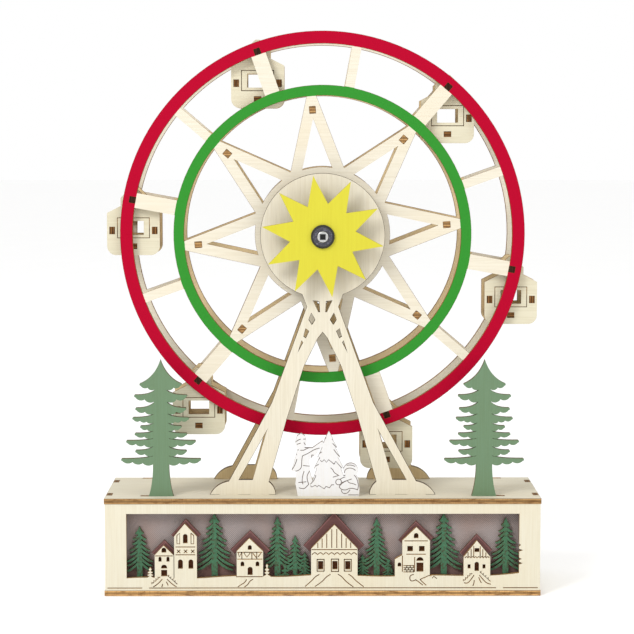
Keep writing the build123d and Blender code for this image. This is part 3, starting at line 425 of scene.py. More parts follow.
def plywood(
    name,
    face,
    sheet,
    grain,
    burnt,
    charred,
    paint=(),
    engraved=None,
    paint_cover=0.0,
    grain_show=1.0,
    backing=None,
    blotches=None,
):
    """
    Laser-cut plywood. sheet is (axis, lowest, highest): the way its thickness points and the places
    of its two faces in millimetres. Edges are recognised by their direction, engraved lines by lying
    under a face. paint is a list of rings for painted_rings, paint_cover is how much of the burnt edge
    is hidden by paint, and grain_show is how strongly the grain shows through. backing is the stain of
    the village houses under their gables, and blotches the colour of the firs' burnt patches.
    """
    finish = Finish(name, gloss=BOARD_GLOSS)
    axis, low, high = sheet
    facing = finish.axes(finish.normal)
    place = finish.axes(finish.position)
    flat = finish.math("ABSOLUTE", facing[ACROSS[axis]])
    edge = finish.step(flat, *EDGE_TO_FACE, 1.0, 0.0)

    fibres = finish.noise(stretched(grain, LONG_GRAIN, CROSS_GRAIN), 4.0, 0.6)
    pores = finish.noise(stretched(grain, LONG_PORES, CROSS_PORES), 2.0, 0.5, seed=7.0)
    clouds = finish.noise((CLOUDS, CLOUDS, CLOUDS), 2.0, 0.5, seed=3.0)
    light = linear(shaded(face, 1 + 0.016 * grain_show))
    dark = linear(shaded((face[0], face[1] * 0.990, face[2] * 0.970), 1 - 0.032 * grain_show))
    surface = finish.mix(finish.step(fibres, 0.30, 0.72), light, dark)
    warm = linear((face[0], face[1] * 0.975, face[2] * 0.93))
    surface = finish.mix(finish.step(clouds, 0.40, 0.78, 0.0, 0.45), surface, warm)
    speckled = finish.step(pores, 0.62, 0.80, 0.0, 0.16 * grain_show)
    surface = finish.mix(speckled, surface, linear(burnt))

    if paint:
        surface = painted_rings(finish, surface, facing, fibres, paint)
    if blotches is not None:
        patches = finish.noise((0.55, 0.55, 0.55), 4.0, 0.75, seed=31.0)
        surface = finish.mix(finish.step(patches, 0.46, 0.62, 0.0, 0.75), surface, linear(blotches))
    if backing is not None:
        surface = stained_village(finish, surface, place, fibres, face, backing)

    depth = finish.math("DIVIDE", finish.math("SUBTRACT", place[ACROSS[axis]], low), high - low)
    depth = finish.math("FRACT", depth)
    scorched = linear(charred)
    layers = {
        "glue": scorched,
        "outer": linear(shaded(burnt, 1.10)),
        "core": linear(shaded(burnt, 0.80)),
    }
    veneers = finish.ramp(depth, [(start, layers[layer]) for start, layer in VENEERS])
    scratches = finish.noise(stretched(axis, 0.12, 2.6), 3.0, 0.6, seed=11.0)
    soot = finish.noise(stretched(axis, 0.55, 0.11), 4.0, 0.65, seed=19.0)
    cut = finish.mix(finish.step(scratches, 0.38, 0.72, 0.0, 0.45), veneers, scorched)
    cut = finish.mix(finish.step(soot, 0.46, 0.66, 0.0, 0.70), cut, scorched)
    if paint_cover:
        cut = finish.mix(paint_cover, cut, linear(shaded(face, 0.72)))

    if engraved is not None:
        start, end = ENGRAVED_BAND
        under_low = finish.step(place[ACROSS[axis]], low + start, low + end)
        under_high = finish.step(place[ACROSS[axis]], high - end, high - start, 1.0, 0.0)
        burn = finish.mix(
            finish.step(fibres, 0.3, 0.7), linear(engraved), linear(shaded(engraved, 0.72))
        )
        surface = finish.mix(finish.math("MULTIPLY", under_low, under_high), surface, burn)

    finish.colour(finish.mix(edge, surface, cut))
    relief = finish.math("ADD", fibres, finish.math("MULTIPLY", pores, 0.5))
    rough_cut = finish.math("MULTIPLY", scratches, 2.0)
    height = finish.math("ADD", relief, finish.math("MULTIPLY", edge, rough_cut))
    finish.bump(height, 0.05, 0.5)
    finish.roughness(finish.step(fibres, 0.2, 0.8, 0.52, 0.68))
    return finish.material


def sheet_of(node, axis):
    """Axis and the two faces of a sheet, in millimetres, as the plywood finish takes them."""
    low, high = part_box(node)
    return (axis, low[ACROSS[axis]] / MM, high[ACROSS[axis]] / MM)


def turned_wood(name, colour, axis):
    """Smooth round wood with fine rings left by the lathe."""
    finish = Finish(name, roughness=0.45)
    fibres = finish.noise(stretched(axis, 0.05, 1.1), 4.0, 0.6)
    rings = finish.noise(stretched(axis, 3.0, 0.02), 2.0, 0.5, seed=5.0)
    shade = finish.mix(
        finish.step(fibres, 0.30, 0.75), linear(shaded(colour, 1.05)), linear(shaded(colour, 0.78))
    )
    ringed = finish.step(rings, 0.55, 0.75, 0.0, 0.25)
    finish.colour(finish.mix(ringed, shade, linear(shaded(colour, 0.6))))
    finish.bump(finish.math("ADD", fibres, rings), 0.04, 0.5)
    return finish.material


def metal(name, tint, roughness, spin_axis="Y", recess=None):
    """
    Plated steel with faint turning marks and darker patches, partly smudges and partly painted dark
    reflections.
    recess places a square of painted shade, wider than the recess itself: its middle and half its
    width, in millimetres.
    """
    finish = Finish(name, roughness=roughness, metallic=1.0)
    # darker patches: partly smudges, partly painted dark reflections
    smudges_and_painted_reflections = finish.noise((0.8, 0.8, 0.8), 3.0, 0.6)
    marks = finish.noise(stretched(spin_axis, 0.3, 5.0), 2.0, 0.5, seed=2.0)
    surface = finish.mix(finish.step(smudges_and_painted_reflections, 0.3, 0.7), tint, shaded(tint, 0.78))
    if recess:
        middle, half = recess
        offset = finish.vector("ABSOLUTE", finish.vector("SUBTRACT", finish.position, middle))
        offset = finish.axes(offset)
        beside = finish.math("MAXIMUM", offset[0], offset[2])
        # square of painted shade over the recess
        inside = finish.step(beside, half - RECESS_BLUR, half + RECESS_BLUR, 1.0, 0.0)
        surface = finish.mix(inside, surface, RECESS_PAINTED_SHADE)
    finish.colour(surface)
    finish.roughness(finish.step(smudges_and_painted_reflections, 0.3, 0.8, roughness, roughness + 0.16))
    finish.bump(marks, 0.02, 0.4)
    return finish.material


def rubber(name):
    """Dark washer with a dull moulded face and pale painted highlights streaked over it."""
    finish = Finish(name, roughness=0.38)
    grain = finish.noise((2.2, 2.2, 2.2), 3.0, 0.6)
    facing = finish.axes(finish.normal)
    face = finish.step(finish.math("ABSOLUTE", facing[1]), 0.75, 0.95)
    within = finish.step(finish.radius(), WASHER_RIM - 0.3, WASHER_RIM + 0.2, 1.0, 0.0)
    inner = finish.math("MULTIPLY", face, within)
    mottled = finish.mix(finish.step(grain, 0.3, 0.7), linear(RUBBER_LIGHT), linear(RUBBER_DARK))
    # pale streaked patches are painted highlights on the washer's face
    painted_highlight_streaks = finish.noise((0.35, 0.35, 1.7), 3.0, 0.7, seed=9.0)
    mottled = finish.mix(finish.step(painted_highlight_streaks, 0.56, 0.68, 0.0, 0.75), mottled, linear(RUBBER_PAINTED_HIGHLIGHT))
    finish.colour(finish.mix(inner, linear(RUBBER_RIM), mottled))
    finish.bump(grain, 0.03, 0.5)
    return finish.material


def backdrop_cloth(name, colour, pitch):
    """Fine plain weave, its threads pitch millimetres apart, with painted reddish shade along its foot.
    """
    finish = Finish(name, roughness=0.9)
    place = finish.axes(finish.position)
    turn = 2 * math.pi / pitch
    warp = finish.math("SINE", finish.math("MULTIPLY", place[0], turn))
    weft = finish.math("SINE", finish.math("MULTIPLY", place[2], turn))
    weave = finish.math("MULTIPLY", warp, weft)
    slubs = finish.noise((0.25, 0.25, 2.0), 3.0, 0.6)
    haze = finish.noise((0.03, 0.03, 0.03), 2.0, 0.5, seed=4.0)
    threads = finish.mix(
        finish.step(weave, -0.7, 0.7), linear(shaded(colour, 0.80)), linear(shaded(colour, 1.14))
    )
    threads = finish.mix(finish.step(slubs, 0.5, 0.8, 0.0, 0.3), threads, linear(shaded(colour, 1.15)))
    brown = (colour[0] * 0.96, colour[1] * 0.86, colour[2] * 0.80)
    threads = finish.mix(finish.step(haze, 0.35, 0.7, 0.0, 0.6), threads, linear(brown))
    # painted shade: the cloth turns darker and reddish towards its foot
    shade_near_ground = finish.step(place[2], *REDDISH_FOOT, 0.8, 0.0)
    reddish = (colour[0] * 0.74, colour[1] * 0.53, colour[2] * 0.47)
    finish.colour(finish.mix(shade_near_ground, threads, linear(reddish)))
    finish.bump(weave, 0.10, 0.6)
    finish.shader.inputs["Sheen Weight"].default_value = 0.2
    return finish.material


# ---------------------------------------------------------------- boards


def dress(node, material, arris=0.0):
    """Gives a solid its finish and, on a sawn board, the narrow burnt arris along its edges."""
    piece = frame["nodes"][node]
    piece.data.materials.clear()
    piece.data.materials.append(material)
    if arris:
        add_arris(piece, arris)
    return piece


def board(node, face, axis, grain, burnt, charred, arris=0.0, called=None, **looks):
    """Gives a board its plywood, called like the board itself if it has no other name."""
    sheet = sheet_of(node, axis)
    return dress(node, plywood(called or node, face, sheet, grain, burnt, charred, **looks), arris)


def add_arris(piece, width):
    """Welds the loose triangles and breaks every sharp edge by width."""
    weld = piece.modifiers.new("Weld", "WELD")
    weld.merge_threshold = 0.002 * MM
    bevel = piece.modifiers.new("Arris", "BEVEL")
    bevel.width = width
    bevel.segments = 1
    bevel.limit_method = "ANGLE"
    bevel.angle_limit = math.radians(40)
    bevel.harden_normals = False


def evaluated_mesh(piece):
    """Plain mesh of a piece with all its modifiers applied."""
    bpy.context.view_layer.update()
    graph = bpy.context.evaluated_depsgraph_get()
    return bpy.data.meshes.new_from_object(piece.evaluated_get(graph), depsgraph=graph)


# ---------------------------------------------------------------- engraved strokes


ARCH_STEPS = 4          # straight runs in one arch of a scalloped line

def straight(*numbers):
    """Stroke with straight runs; the numbers are x and height of each point in turn, in millimetres."""
    return ("POLY", list(zip(numbers[::2], numbers[1::2])))


def flowing(*numbers):
    """Stroke that flows past its points."""
    return ("NURBS", list(zip(numbers[::2], numbers[1::2])))


def box_strokes(left, right, bottom, top, overrun=0.2):
    """Rectangle of four lines that run past each other a little, so that its corners are full."""
    return [
        straight(left - overrun, bottom, right + overrun, bottom),
        straight(left - overrun, top, right + overrun, top),
        straight(left, bottom - overrun, left, top + overrun),
        straight(right, bottom - overrun, right, top + overrun),
    ]


def scallop_stroke(left, right, low, high, count):
    """Row of arches between two heights."""
    runs = count * ARCH_STEPS
    numbers = []
    for index in range(runs + 1):
        share = index / runs
        rise = abs(math.sin(math.pi * count * share))
        numbers += [left + share * (right - left), low + (high - low) * rise]
    return straight(*numbers)


def hedge_stroke(start, end, leaves=4, depth=1.3):
    """Ragged edge of a hedge: points that stick out above the line from start to end."""
    lean = depth if end[1] > start[1] else -depth
    numbers = []
    for index in range(leaves):
        x, height = (start[axis] + (end[axis] - start[axis]) * index / leaves for axis in (0, 1))
        numbers += [x, height, x - 0.2 * lean, height + depth, x + 0.6 * lean, height + 0.6 * depth]
    return straight(*numbers, *end)


def stroke_curves(name, strokes):
    """Curve object with all strokes, drawn flat: its X is the object's X and its Y is the height."""
    curve = bpy.data.curves.new(name, "CURVE")
    curve.dimensions = "3D"
    curve.twist_mode = "Z_UP"
    curve.resolution_u = 4
    for kind, points in strokes:
        spline = curve.splines.new(kind)
        spline.points.add(len(points) - 1)
        for point, (x, height) in zip(spline.points, points):
            point.co = (x * MM, height * MM, 0.0, 1.0)
        if kind == "NURBS":
            spline.order_u = 3
            spline.use_endpoint_u = True
    drawn = bpy.data.objects.new(name, curve)
    bpy.context.scene.collection.objects.link(drawn)
    return drawn


def engraving_tree():
    """Geometry Nodes tree that cuts strokes into the upright face of a board."""
    tree = bpy.data.node_groups.new("Engraved lines", "GeometryNodeTree")
    names = {}
    for name, kind in (
        ("Board", "NodeSocketGeometry"),
        ("Strokes", "NodeSocketObject"),
        ("Face", "NodeSocketFloat"),
        ("Line width", "NodeSocketFloat"),
        ("Depth", "NodeSocketFloat"),
        ("Finish", "NodeSocketMaterial"),
    ):
        names[name] = tree.interface.new_socket(name=name, in_out="INPUT", socket_type=kind).identifier
    tree.interface.new_socket(name="Board", in_out="OUTPUT", socket_type="NodeSocketGeometry")

    start = tree.nodes.new("NodeGroupInput")
    end = tree.nodes.new("NodeGroupOutput")
    strokes = tree.nodes.new("GeometryNodeObjectInfo")
    profile = tree.nodes.new("GeometryNodeCurvePrimitiveQuadrilateral")
    sweep = tree.nodes.new("GeometryNodeCurveToMesh")
    double_depth = tree.nodes.new("ShaderNodeMath")
    face = tree.nodes.new("ShaderNodeCombineXYZ")
    stand_up = tree.nodes.new("GeometryNodeTransform")
    cut = tree.nodes.new("GeometryNodeMeshBoolean")
    realize = tree.nodes.new("GeometryNodeRealizeInstances")
    finish = tree.nodes.new("GeometryNodeSetMaterial")

    double_depth.operation = "MULTIPLY"
    double_depth.inputs[1].default_value = 2.0
    stand_up.inputs["Rotation"].default_value = (math.radians(90), 0.0, 0.0)
    cut.operation = "DIFFERENCE"
    cut.solver = "EXACT"
    cut.inputs["Self Intersection"].default_value = True
    sweep.inputs["Fill Caps"].default_value = True

    link = tree.links.new
    link(start.outputs["Strokes"], strokes.inputs["Object"])
    link(start.outputs["Line width"], profile.inputs["Width"])
    link(start.outputs["Depth"], double_depth.inputs[0])
    link(double_depth.outputs[0], profile.inputs["Height"])
    link(strokes.outputs["Geometry"], sweep.inputs["Curve"])
    link(profile.outputs["Curve"], sweep.inputs["Profile Curve"])
    link(sweep.outputs["Mesh"], stand_up.inputs["Geometry"])
    link(start.outputs["Face"], face.inputs["Y"])
    link(face.outputs["Vector"], stand_up.inputs["Translation"])
    link(start.outputs["Board"], cut.inputs["Mesh 1"])
    link(stand_up.outputs["Geometry"], cut.inputs["Mesh 2"])
    link(cut.outputs["Mesh"], realize.inputs["Geometry"])
    link(realize.outputs["Geometry"], finish.inputs["Geometry"])
    link(start.outputs["Finish"], finish.inputs["Material"])
    link(finish.outputs["Geometry"], end.inputs["Board"])
    return tree, names


def engrave(node, name, body, strokes, face_y, width, material, arris=None):
    """Makes the piece that stands for a board: the same solid with strokes cut into one face."""
    settings = bpy.context.scene.ferris_engraving
    board = bpy.data.objects.new(name + "_blank", frame["nodes"][node].data.copy())
    bpy.context.scene.collection.objects.link(board)
    add_arris(board, arris or settings.arris)
    if "Engraved lines" not in bpy.data.node_groups:
        engraving_tree()
    tree = bpy.data.node_groups["Engraved lines"]
    names = {item.name: item.identifier for item in tree.interface.items_tree if item.in_out == "INPUT"}
    carve = board.modifiers.new("Engraving", "NODES")
    carve.node_group = tree
    carve[names["Strokes"]] = strokes
    carve[names["Face"]] = face_y
    carve[names["Line width"]] = width
    carve[names["Depth"]] = settings.depth
    carve[names["Finish"]] = material
    mesh = evaluated_mesh(board)
    bpy.data.objects.remove(board)
    mesh.materials.clear()
    mesh.materials.append(material)
    piece = bpy.data.objects.new(name, mesh)
    bpy.context.scene.collection.objects.link(piece)
    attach(piece, body)
    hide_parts(node)
    return piece


# ---------------------------------------------------------------- drawings, in millimetres


HOUSE_LINES = [
    # first house: eaves, path and bushes
    straight(-120.1, 29.2, -107.5, 29.2),
    flowing(-115.2, 12.3, -118.2, 8.4, -121.8, 6.6),
    flowing(-111.7, 12.3, -108.8, 8.8, -104.9, 6.6),
    flowing(-115.0, 8.8, -115.0, 7.6, -115.6, 6.5),
    flowing(-112.3, 10.5, -111.7, 9.0, -110.9, 7.6),
    hedge_stroke((-122.6, 8.6), (-116.6, 14.0)),
    hedge_stroke((-110.6, 14.0), (-104.4, 8.6)),
    # second house: two panels, two bands and three crosses
    straight(-104.5, 44.1, -102.5, 45.7, -102.5, 38.0, -104.5, 38.0, -104.5, 44.1),
    straight(-94.4, 45.7, -92.4, 44.1, -92.4, 38.0, -94.4, 38.0, -94.4, 45.7),
    straight(-105.5, 35.7, -91.4, 35.7),
    straight(-105.5, 30.0, -91.4, 30.0),
    # third house: framed band, doorstep and path
    straight(-61.3, 31.8, -43.3, 31.8),
    straight(-61.3, 26.8, -43.3, 26.8),
    straight(-60.6, 31.4, -59.9, 28.4, -58.2, 31.2),
    straight(-58.0, 31.8, -58.0, 26.8),
    straight(-56.6, 31.4, -54.4, 28.3, -51.9, 31.4),
    straight(-50.8, 31.8, -50.8, 26.8),
    straight(-50.1, 31.1, -47.7, 28.0),
    straight(-47.3, 31.8, -47.3, 26.8),
    straight(-46.4, 28.4, -44.2, 31.2),
    straight(-62.1, 14.0, -43.1, 14.0),
    flowing(-54.6, 12.1, -55.8, 9.7, -59.1, 8.0, -60.9, 6.5),
    flowing(-50.0, 12.1, -52.1, 11.3, -53.8, 8.0, -56.2, 6.5),
    # fourth house: floor line and four curved paths
    straight(-8.0, 33.7, 24.7, 33.7),
    flowing(-2.3, 15.5, -4.5, 14.9, -7.5, 11.3, -12.7, 6.8),
    flowing(5.7, 15.7, 2.8, 14.3, -0.4, 10.1, -5.6, 6.8),
    flowing(11.0, 15.7, 13.5, 14.5, 16.8, 10.1, 22.1, 6.5),
    flowing(18.4, 15.7, 20.5, 14.9, 23.7, 10.9, 29.5, 6.6),
    # fifth house: two floor lines, the annexe's wall, a corner, and the trodden snow
    straight(58.6, 40.0, 75.4, 40.0),
    straight(60.0, 30.3, 74.0, 30.3),
    straight(57.2, 29.3, 57.2, 17.5),
    straight(66.0, 28.2, 66.0, 17.5),
    flowing(65.4, 15.5, 63.3, 15.2, 62.4, 13.5, 62.9, 11.1, 64.8, 10.5, 67.0, 11.8),
    flowing(66.7, 11.7, 69.2, 10.1, 72.0, 7.7),
    flowing(78.1, 14.5, 76.3, 15.0, 73.2, 13.2, 71.3, 12.8, 69.9, 11.7),
    flowing(70.0, 11.9, 71.8, 9.7, 74.4, 7.7),
    straight(78.7, 12.7, 79.7, 14.3, 82.0, 12.5),
    # sixth house: path and bushes
    flowing(108.7, 15.1, 106.6, 11.8, 103.8, 8.6, 101.5, 9.5),
    flowing(112.5, 15.1, 115.5, 11.4, 118.1, 8.9, 120.8, 8.4),
    flowing(108.8, 11.4, 109.0, 9.5, 107.9, 7.2),
    flowing(112.1, 13.6, 112.7, 11.4, 114.0, 9.4),
    hedge_stroke((101.2, 10.6), (107.4, 16.4)),
    hedge_stroke((113.6, 16.6), (120.6, 10.4)),
    # the line along the foot of the panel, open over the two tenons
    straight(-154.6, 5.8, -129.6, 5.8),
    straight(-124.6, 5.8, 124.6, 5.8),
    straight(129.6, 5.8, 154.6, 5.8),
]
CROSS_MIDDLES = ((-103.3, 32.5), (-98.3, 32.5), (-93.2, 32.5))
CROSS_HALF = 1.2
FOURTH_HOUSE_GABLE = ((-3.5, -0.4, 2.9, 6.5, 10.1, 13.6, 16.8, 20.1), (8.4, 50.4), 34.9, 0.98)
FOURTH_HOUSE_SCALLOPS = (-7.7, 24.5, 30.0, 31.5, 8)
FOURTH_HOUSE_FRAMES = ((-4.0, 1.0, 18.0, 26.6), (6.2, 11.4, 17.8, 26.8), (15.5, 20.5, 18.0, 26.6))
SIXTH_HOUSE_GABLE = ((104.3, 106.5, 108.4, 113.0, 114.9, 117.1), (110.6, 38.6), 28.4, 1.08)
SIXTH_HOUSE_SCALLOPS = (102.0, 119.6, 27.5, 28.5, 8)
BRICKS = (58.0, 65.6, 17.4, 22.0, 3, 2.4)   # left, right, bottom, top, rows, length of a brick


def gable_boards(places, ridge, floor, slope):
    """Upright lines between the boards of a gable, cut off under its two slopes."""
    return [straight(x, floor, x, ridge[1] - slope * abs(x - ridge[0])) for x in places]


def brick_strokes(left, right, bottom, top, rows, length):
    """Patch of brickwork with staggered joints."""
    course = (top - bottom) / rows
    heights = [bottom + row * course for row in range(rows + 1)]
    strokes = [straight(left, height, right, height) for height in heights]
    for row, (foot, head) in enumerate(zip(heights, heights[1:])):
        joint = left + (0.5 if row % 2 else 1.0) * length
        while joint < right:
            strokes.append(straight(joint, foot, joint, head))
            joint += length
    return strokes


def village_strokes():
    """Everything that is engraved into the front panel."""
    strokes = list(HOUSE_LINES)
    for x, height in CROSS_MIDDLES:
        for rise in (-CROSS_HALF, CROSS_HALF):
            strokes.append(straight(x - CROSS_HALF, height - rise, x + CROSS_HALF, height + rise))
    strokes += gable_boards(*FOURTH_HOUSE_GABLE)
    strokes.append(scallop_stroke(*FOURTH_HOUSE_SCALLOPS))
    for left, right, bottom, top in FOURTH_HOUSE_FRAMES:
        strokes += box_strokes(left, right, bottom, top)
    strokes += gable_boards(*SIXTH_HOUSE_GABLE)
    strokes.append(scallop_stroke(*SIXTH_HOUSE_SCALLOPS))
    strokes += brick_strokes(*BRICKS)
    return strokes


WHITE_SCENE_LINES = [
    # the fir: its branches, and two rows of ragged boughs
    straight(6.8, 41.5, 9.4, 39.0),
    straight(7.2, 38.4, 10.8, 34.5),
    flowing(8.0, 34.0, 10.5, 30.2, 13.0, 28.3),
    straight(-0.6, 32.2, -4.6, 29.4),
    straight(-2.0, 27.8, -4.2, 24.9),
    flowing(-2.8, 23.2, -7.1, 21.0, -10.4, 16.9, -11.7, 13.1, -10.0, 8.7),
    straight(-1.7, 26.1, -0.5, 25.0, 1.1, 26.6, 2.8, 24.6, 4.2, 26.6, 6.5, 24.8, 8.2, 23.2),
    straight(8.2, 23.2, 9.4, 25.4, 13.9, 20.3),
    straight(-5.4, 19.4, -8.2, 15.7, -4.8, 14.9, -6.3, 11.5, -8.8, 8.7),
    straight(-8.8, 7.7, -7.8, 6.7, -5.2, 7.9, -4.0, 6.7, -2.8, 7.9, 1.1, 5.3, 2.4, 7.1),
    straight(2.4, 7.1, 5.0, 6.1, 6.5, 8.3, 8.2, 8.3),
    flowing(5.7, 20.7, 7.4, 19.4, 8.2, 16.9, 11.9, 14.9),
    straight(7.4, 13.8, 11.0, 14.9),
    # the standing child: hat, collar, coat, sleeve and boots
    flowing(-20.1, 43.0, -18.7, 44.0, -17.3, 44.7),
    flowing(-20.8, 38.0, -19.1, 40.3, -15.8, 41.5),
    flowing(-18.5, 37.6, -15.8, 38.6),
    flowing(-13.9, 41.5, -11.5, 41.5),
    straight(-13.5, 39.0, -12.3, 37.2),
    straight(-21.2, 34.2, -17.1, 33.6),
    flowing(-16.0, 33.4, -13.7, 33.2, -12.1, 34.4, -7.2, 36.1, -5.9, 38.0),
    straight(-5.9, 38.0, -4.6, 39.4, -3.4, 38.4, -0.5, 40.0, 2.6, 42.6),
    flowing(-14.5, 29.4, -10.4, 31.0, -5.9, 34.2, -2.2, 35.0),
    straight(-18.5, 30.6, -22.2, 27.4),
    flowing(-18.5, 27.0, -19.7, 22.4, -22.2, 19.2),
    flowing(-14.5, 29.4, -15.1, 26.6, -15.1, 19.0, -19.5, 18.2),
    straight(-8.0, 30.0, -6.3, 29.8),
    flowing(-7.8, 29.8, -8.0, 22.8, -9.0, 21.5, -14.1, 22.4),
    flowing(-13.3, 18.2, -14.9, 14.0, -14.7, 10.5),
    straight(-17.5, 9.9, -11.7, 10.5),
    straight(-14.9, 10.7, -14.1, 8.7),
    flowing(-17.1, 6.1, -14.5, 5.3, -12.5, 5.7, -10.0, 8.7),
    # the kneeling child: cap, sleeve, mitten, skirt and boot
    flowing(14.7, 20.7, 16.9, 24.0, 20.6, 25.9, 23.4, 24.8, 24.7, 22.8),
    flowing(17.3, 22.4, 20.6, 23.2, 23.4, 21.5),
    flowing(15.6, 16.9, 15.8, 19.2, 18.9, 20.7, 22.6, 19.9, 23.6, 18.6),
    straight(25.1, 20.7, 26.2, 19.4),
    flowing(22.6, 15.3, 24.2, 14.0, 25.6, 9.5, 25.8, 6.5, 25.1, 4.5),
    flowing(12.7, 12.3, 14.1, 13.4, 16.2, 14.0),
    flowing(13.9, 9.9, 17.7, 11.5, 21.0, 12.5),
    flowing(17.9, 11.1, 18.9, 9.5, 21.8, 9.3, 24.2, 8.1),
    flowing(11.9, 6.9, 13.1, 9.1, 16.9, 11.1),
    flowing(11.9, 6.9, 12.9, 4.9, 16.9, 4.3, 18.9, 5.7, 22.6, 5.7, 25.4, 4.5),
    flowing(13.5, 4.5, 13.7, 2.3, 16.9, 1.7, 18.9, 3.2, 19.7, 4.7),
    straight(18.5, 0.9, 25.9, 0.9),
]
MITTEN = (11.5, 10.3, 2.1)  # middle and radius
MITTEN_STEPS = 12


def white_scene_strokes():
    """Everything that is engraved into the white scene, over the deck."""
    x, height, radius = MITTEN
    ring = []
    for step in range(MITTEN_STEPS + 1):
        turn = 2 * math.pi * step / MITTEN_STEPS
        ring += [x + radius * math.cos(turn), height + radius * math.sin(turn)]
    strokes = [*WHITE_SCENE_LINES, straight(*ring)]
    return [(kind, [(x, DECK_Z + height) for x, height in points]) for kind, points in strokes]


GONDOLA_FRAME = (11.6, 7.25)    # half width and half height of the engraved frame
GONDOLA_WINDOW_DROP = 20.5      # from the hanger bar down to the window's middle


def gondola_strokes(number):
    """Frame round the window of a gondola."""
    joint = next(j for j in frame["joints"] if j["name"] == f"gondola_{number}_swing")
    x, _, z = joint["pos_m"]
    middle_x = x / MM
    middle_z = z / MM - GONDOLA_WINDOW_DROP
    half_width, half_height = GONDOLA_FRAME
    return box_strokes(
        middle_x - half_width, middle_x + half_width, middle_z - half_height, middle_z + half_height
    )


# ---------------------------------------------------------------- operators


FIR_BLOTCHES = (0.270, 0.215, 0.160)
WHITE_EDGE = ((0.62, 0.56, 0.50), (0.40, 0.34, 0.30))   # paler and scorched layers
WHITE_ENGRAVED = (0.44, 0.38, 0.34)
BAR_THICKNESS = 4.4             # of a bar's plywood, in millimetres
GONDOLA_PLY = 4.0               # thickness of a gondola's walls and floor, in millimetres
SCREW_STEEL = ((0.60, 0.60, 0.59), 0.24)        # tint and roughness
CRANK_STEEL = ((0.62, 0.62, 0.61), 0.34)
CLOTH_GRID = (150, 30)          # columns and rows of the cloth's mesh
CLOTH_PITCH = 1.5               # from thread to thread, in millimetres
CLOTH_THICKNESS = 0.4 * MM
CLOTH_BACK = 0.15 * MM          # from the backdrop's front to the cloth's flat middle
CREASE_ENDS = ((0.093, 0.060), (0.109, 0.040))  # x and height of the crease's ends, in metres
CREASE_DEPTH = 0.12 * MM
CREASE_REACH = 1.2 * MM
SLACK_DEPTH = 0.04 * MM
KEY_PLACE = (-1.1, -1.5, 1.5)
FILL_PLACE = (1.4, -1.2, 0.9)
FILL_SIZE = 1.2
SENSOR_WIDTH = 36.0
CLIP_END = 50.0
FLOOR_SIDES = 96
FLOOR_SHADES = ((0.965, 0.965, 0.960), (0.985, 0.985, 0.982))


class FERRIS_OT_box(bpy.types.Operator):
    """Dresses the boards of the box and engraves the front panel"""

    bl_idname = "ferris.box"
    bl_label = "Box"

    def execute(self, context):
        wood = context.scene.ferris_wood
        arris = context.scene.ferris_engraving.arris
        for node, axis, grain, edge_tone in (
            ("bottom_board", "Z", "X", 1.04),
            ("deck_board", "Z", "X", 0.86),
            ("left_side_panel", "X", "Y", 0.64),
            ("right_side_panel", "X", "Y", 0.64),
            ("rear_panel", "Y", "X", 1.0),
        ):
            burnt = shaded(wood.burnt, edge_tone)
            board(node, wood.panel, axis, grain, burnt, wood.charred, arris)
        sheet = sheet_of("front_panel", "Y")
        looks = {"engraved": wood.engraved, "grain_show": 0.6}
        front = plywood("front_panel", wood.panel, sheet, "Z", wood.burnt, wood.charred, **looks)
        drawn = stroke_curves("village_lines", village_strokes())
        width = context.scene.ferris_engraving.village_line
        engrave(
            "front_panel",
            "engraved_front_panel",
            "base",
            drawn,
            PANEL_FRONT_Y,
            width,
            front,
            arris=context.scene.ferris_engraving.wide_arris,
        )
        bpy.data.objects.remove(drawn)
        return {"FINISHED"}


class FERRIS_OT_village(bpy.types.Operator):
    """Dresses the roofs and firs behind the window and hangs the cloth behind them"""

    bl_idname = "ferris.village"
    bl_label = "Village"

    def execute(self, context):
        wood = context.scene.ferris_wood
        paint = context.scene.ferris_paint
        burnt, charred = shaded(wood.burnt, 0.62), shaded(paint.roof, 0.6)
        looks = {"called": "roof_stain", "backing": paint.backing}
        board("village_roofs_board", paint.roof, "Y", "X", burnt, charred, **looks)
        burnt, charred = shaded(wood.burnt, 0.55), shaded(wood.charred, 0.7)
        looks = {"called": "village_fir_paint", "blotches": FIR_BLOTCHES}
        board("village_trees_board", paint.village_green, "Y", "Z", burnt, charred, **looks)
        self.hang_cloth(context)
        return {"FINISHED"}

    def hang_cloth(self, context):
        """Cloth glued flat behind the firs, with one faint crease."""
        columns, rows = CLOTH_GRID
        low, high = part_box("village_backdrop")
        crease_from, crease_to = (Vector(place) for place in CREASE_ENDS)
        crease = crease_to - crease_from
        vertices = []
        for row in range(rows + 1):
            for column in range(columns + 1):
                x = low.x + (high.x - low.x) * column / columns
                z = low.z + (high.z - low.z) * row / rows
                offset = Vector((x, z)) - crease_from
                along = max(0.0, min(1.0, offset.dot(crease) / crease.length_squared))
                away = (offset - crease * along).length
                fold = CREASE_DEPTH * math.exp(-((away / CREASE_REACH) ** 2))
                slack = SLACK_DEPTH * math.sin(x * 90.0 + 1.3) * math.sin(z * 160.0)
                vertices.append((x, low.y + CLOTH_BACK - fold + slack, z))
        faces = []
        for row in range(rows):
            for column in range(columns):
                first = row * (columns + 1) + column
                faces.append((first, first + 1, first + columns + 2, first + columns + 1))
        mesh = bpy.data.meshes.new("backdrop_cloth")
        mesh.from_pydata(vertices, [], faces)
        colour = context.scene.ferris_paint.cloth
        mesh.materials.append(backdrop_cloth("backdrop_cloth", colour, CLOTH_PITCH))
        for polygon in mesh.polygons:
            polygon.use_smooth = True
        cloth = bpy.data.objects.new("backdrop_cloth", mesh)
        context.scene.collection.objects.link(cloth)
        solid = cloth.modifiers.new("Thickness", "SOLIDIFY")
        solid.thickness = CLOTH_THICKNESS
        solid.offset = -1.0
        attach(cloth, "base")
        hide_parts("village_backdrop")


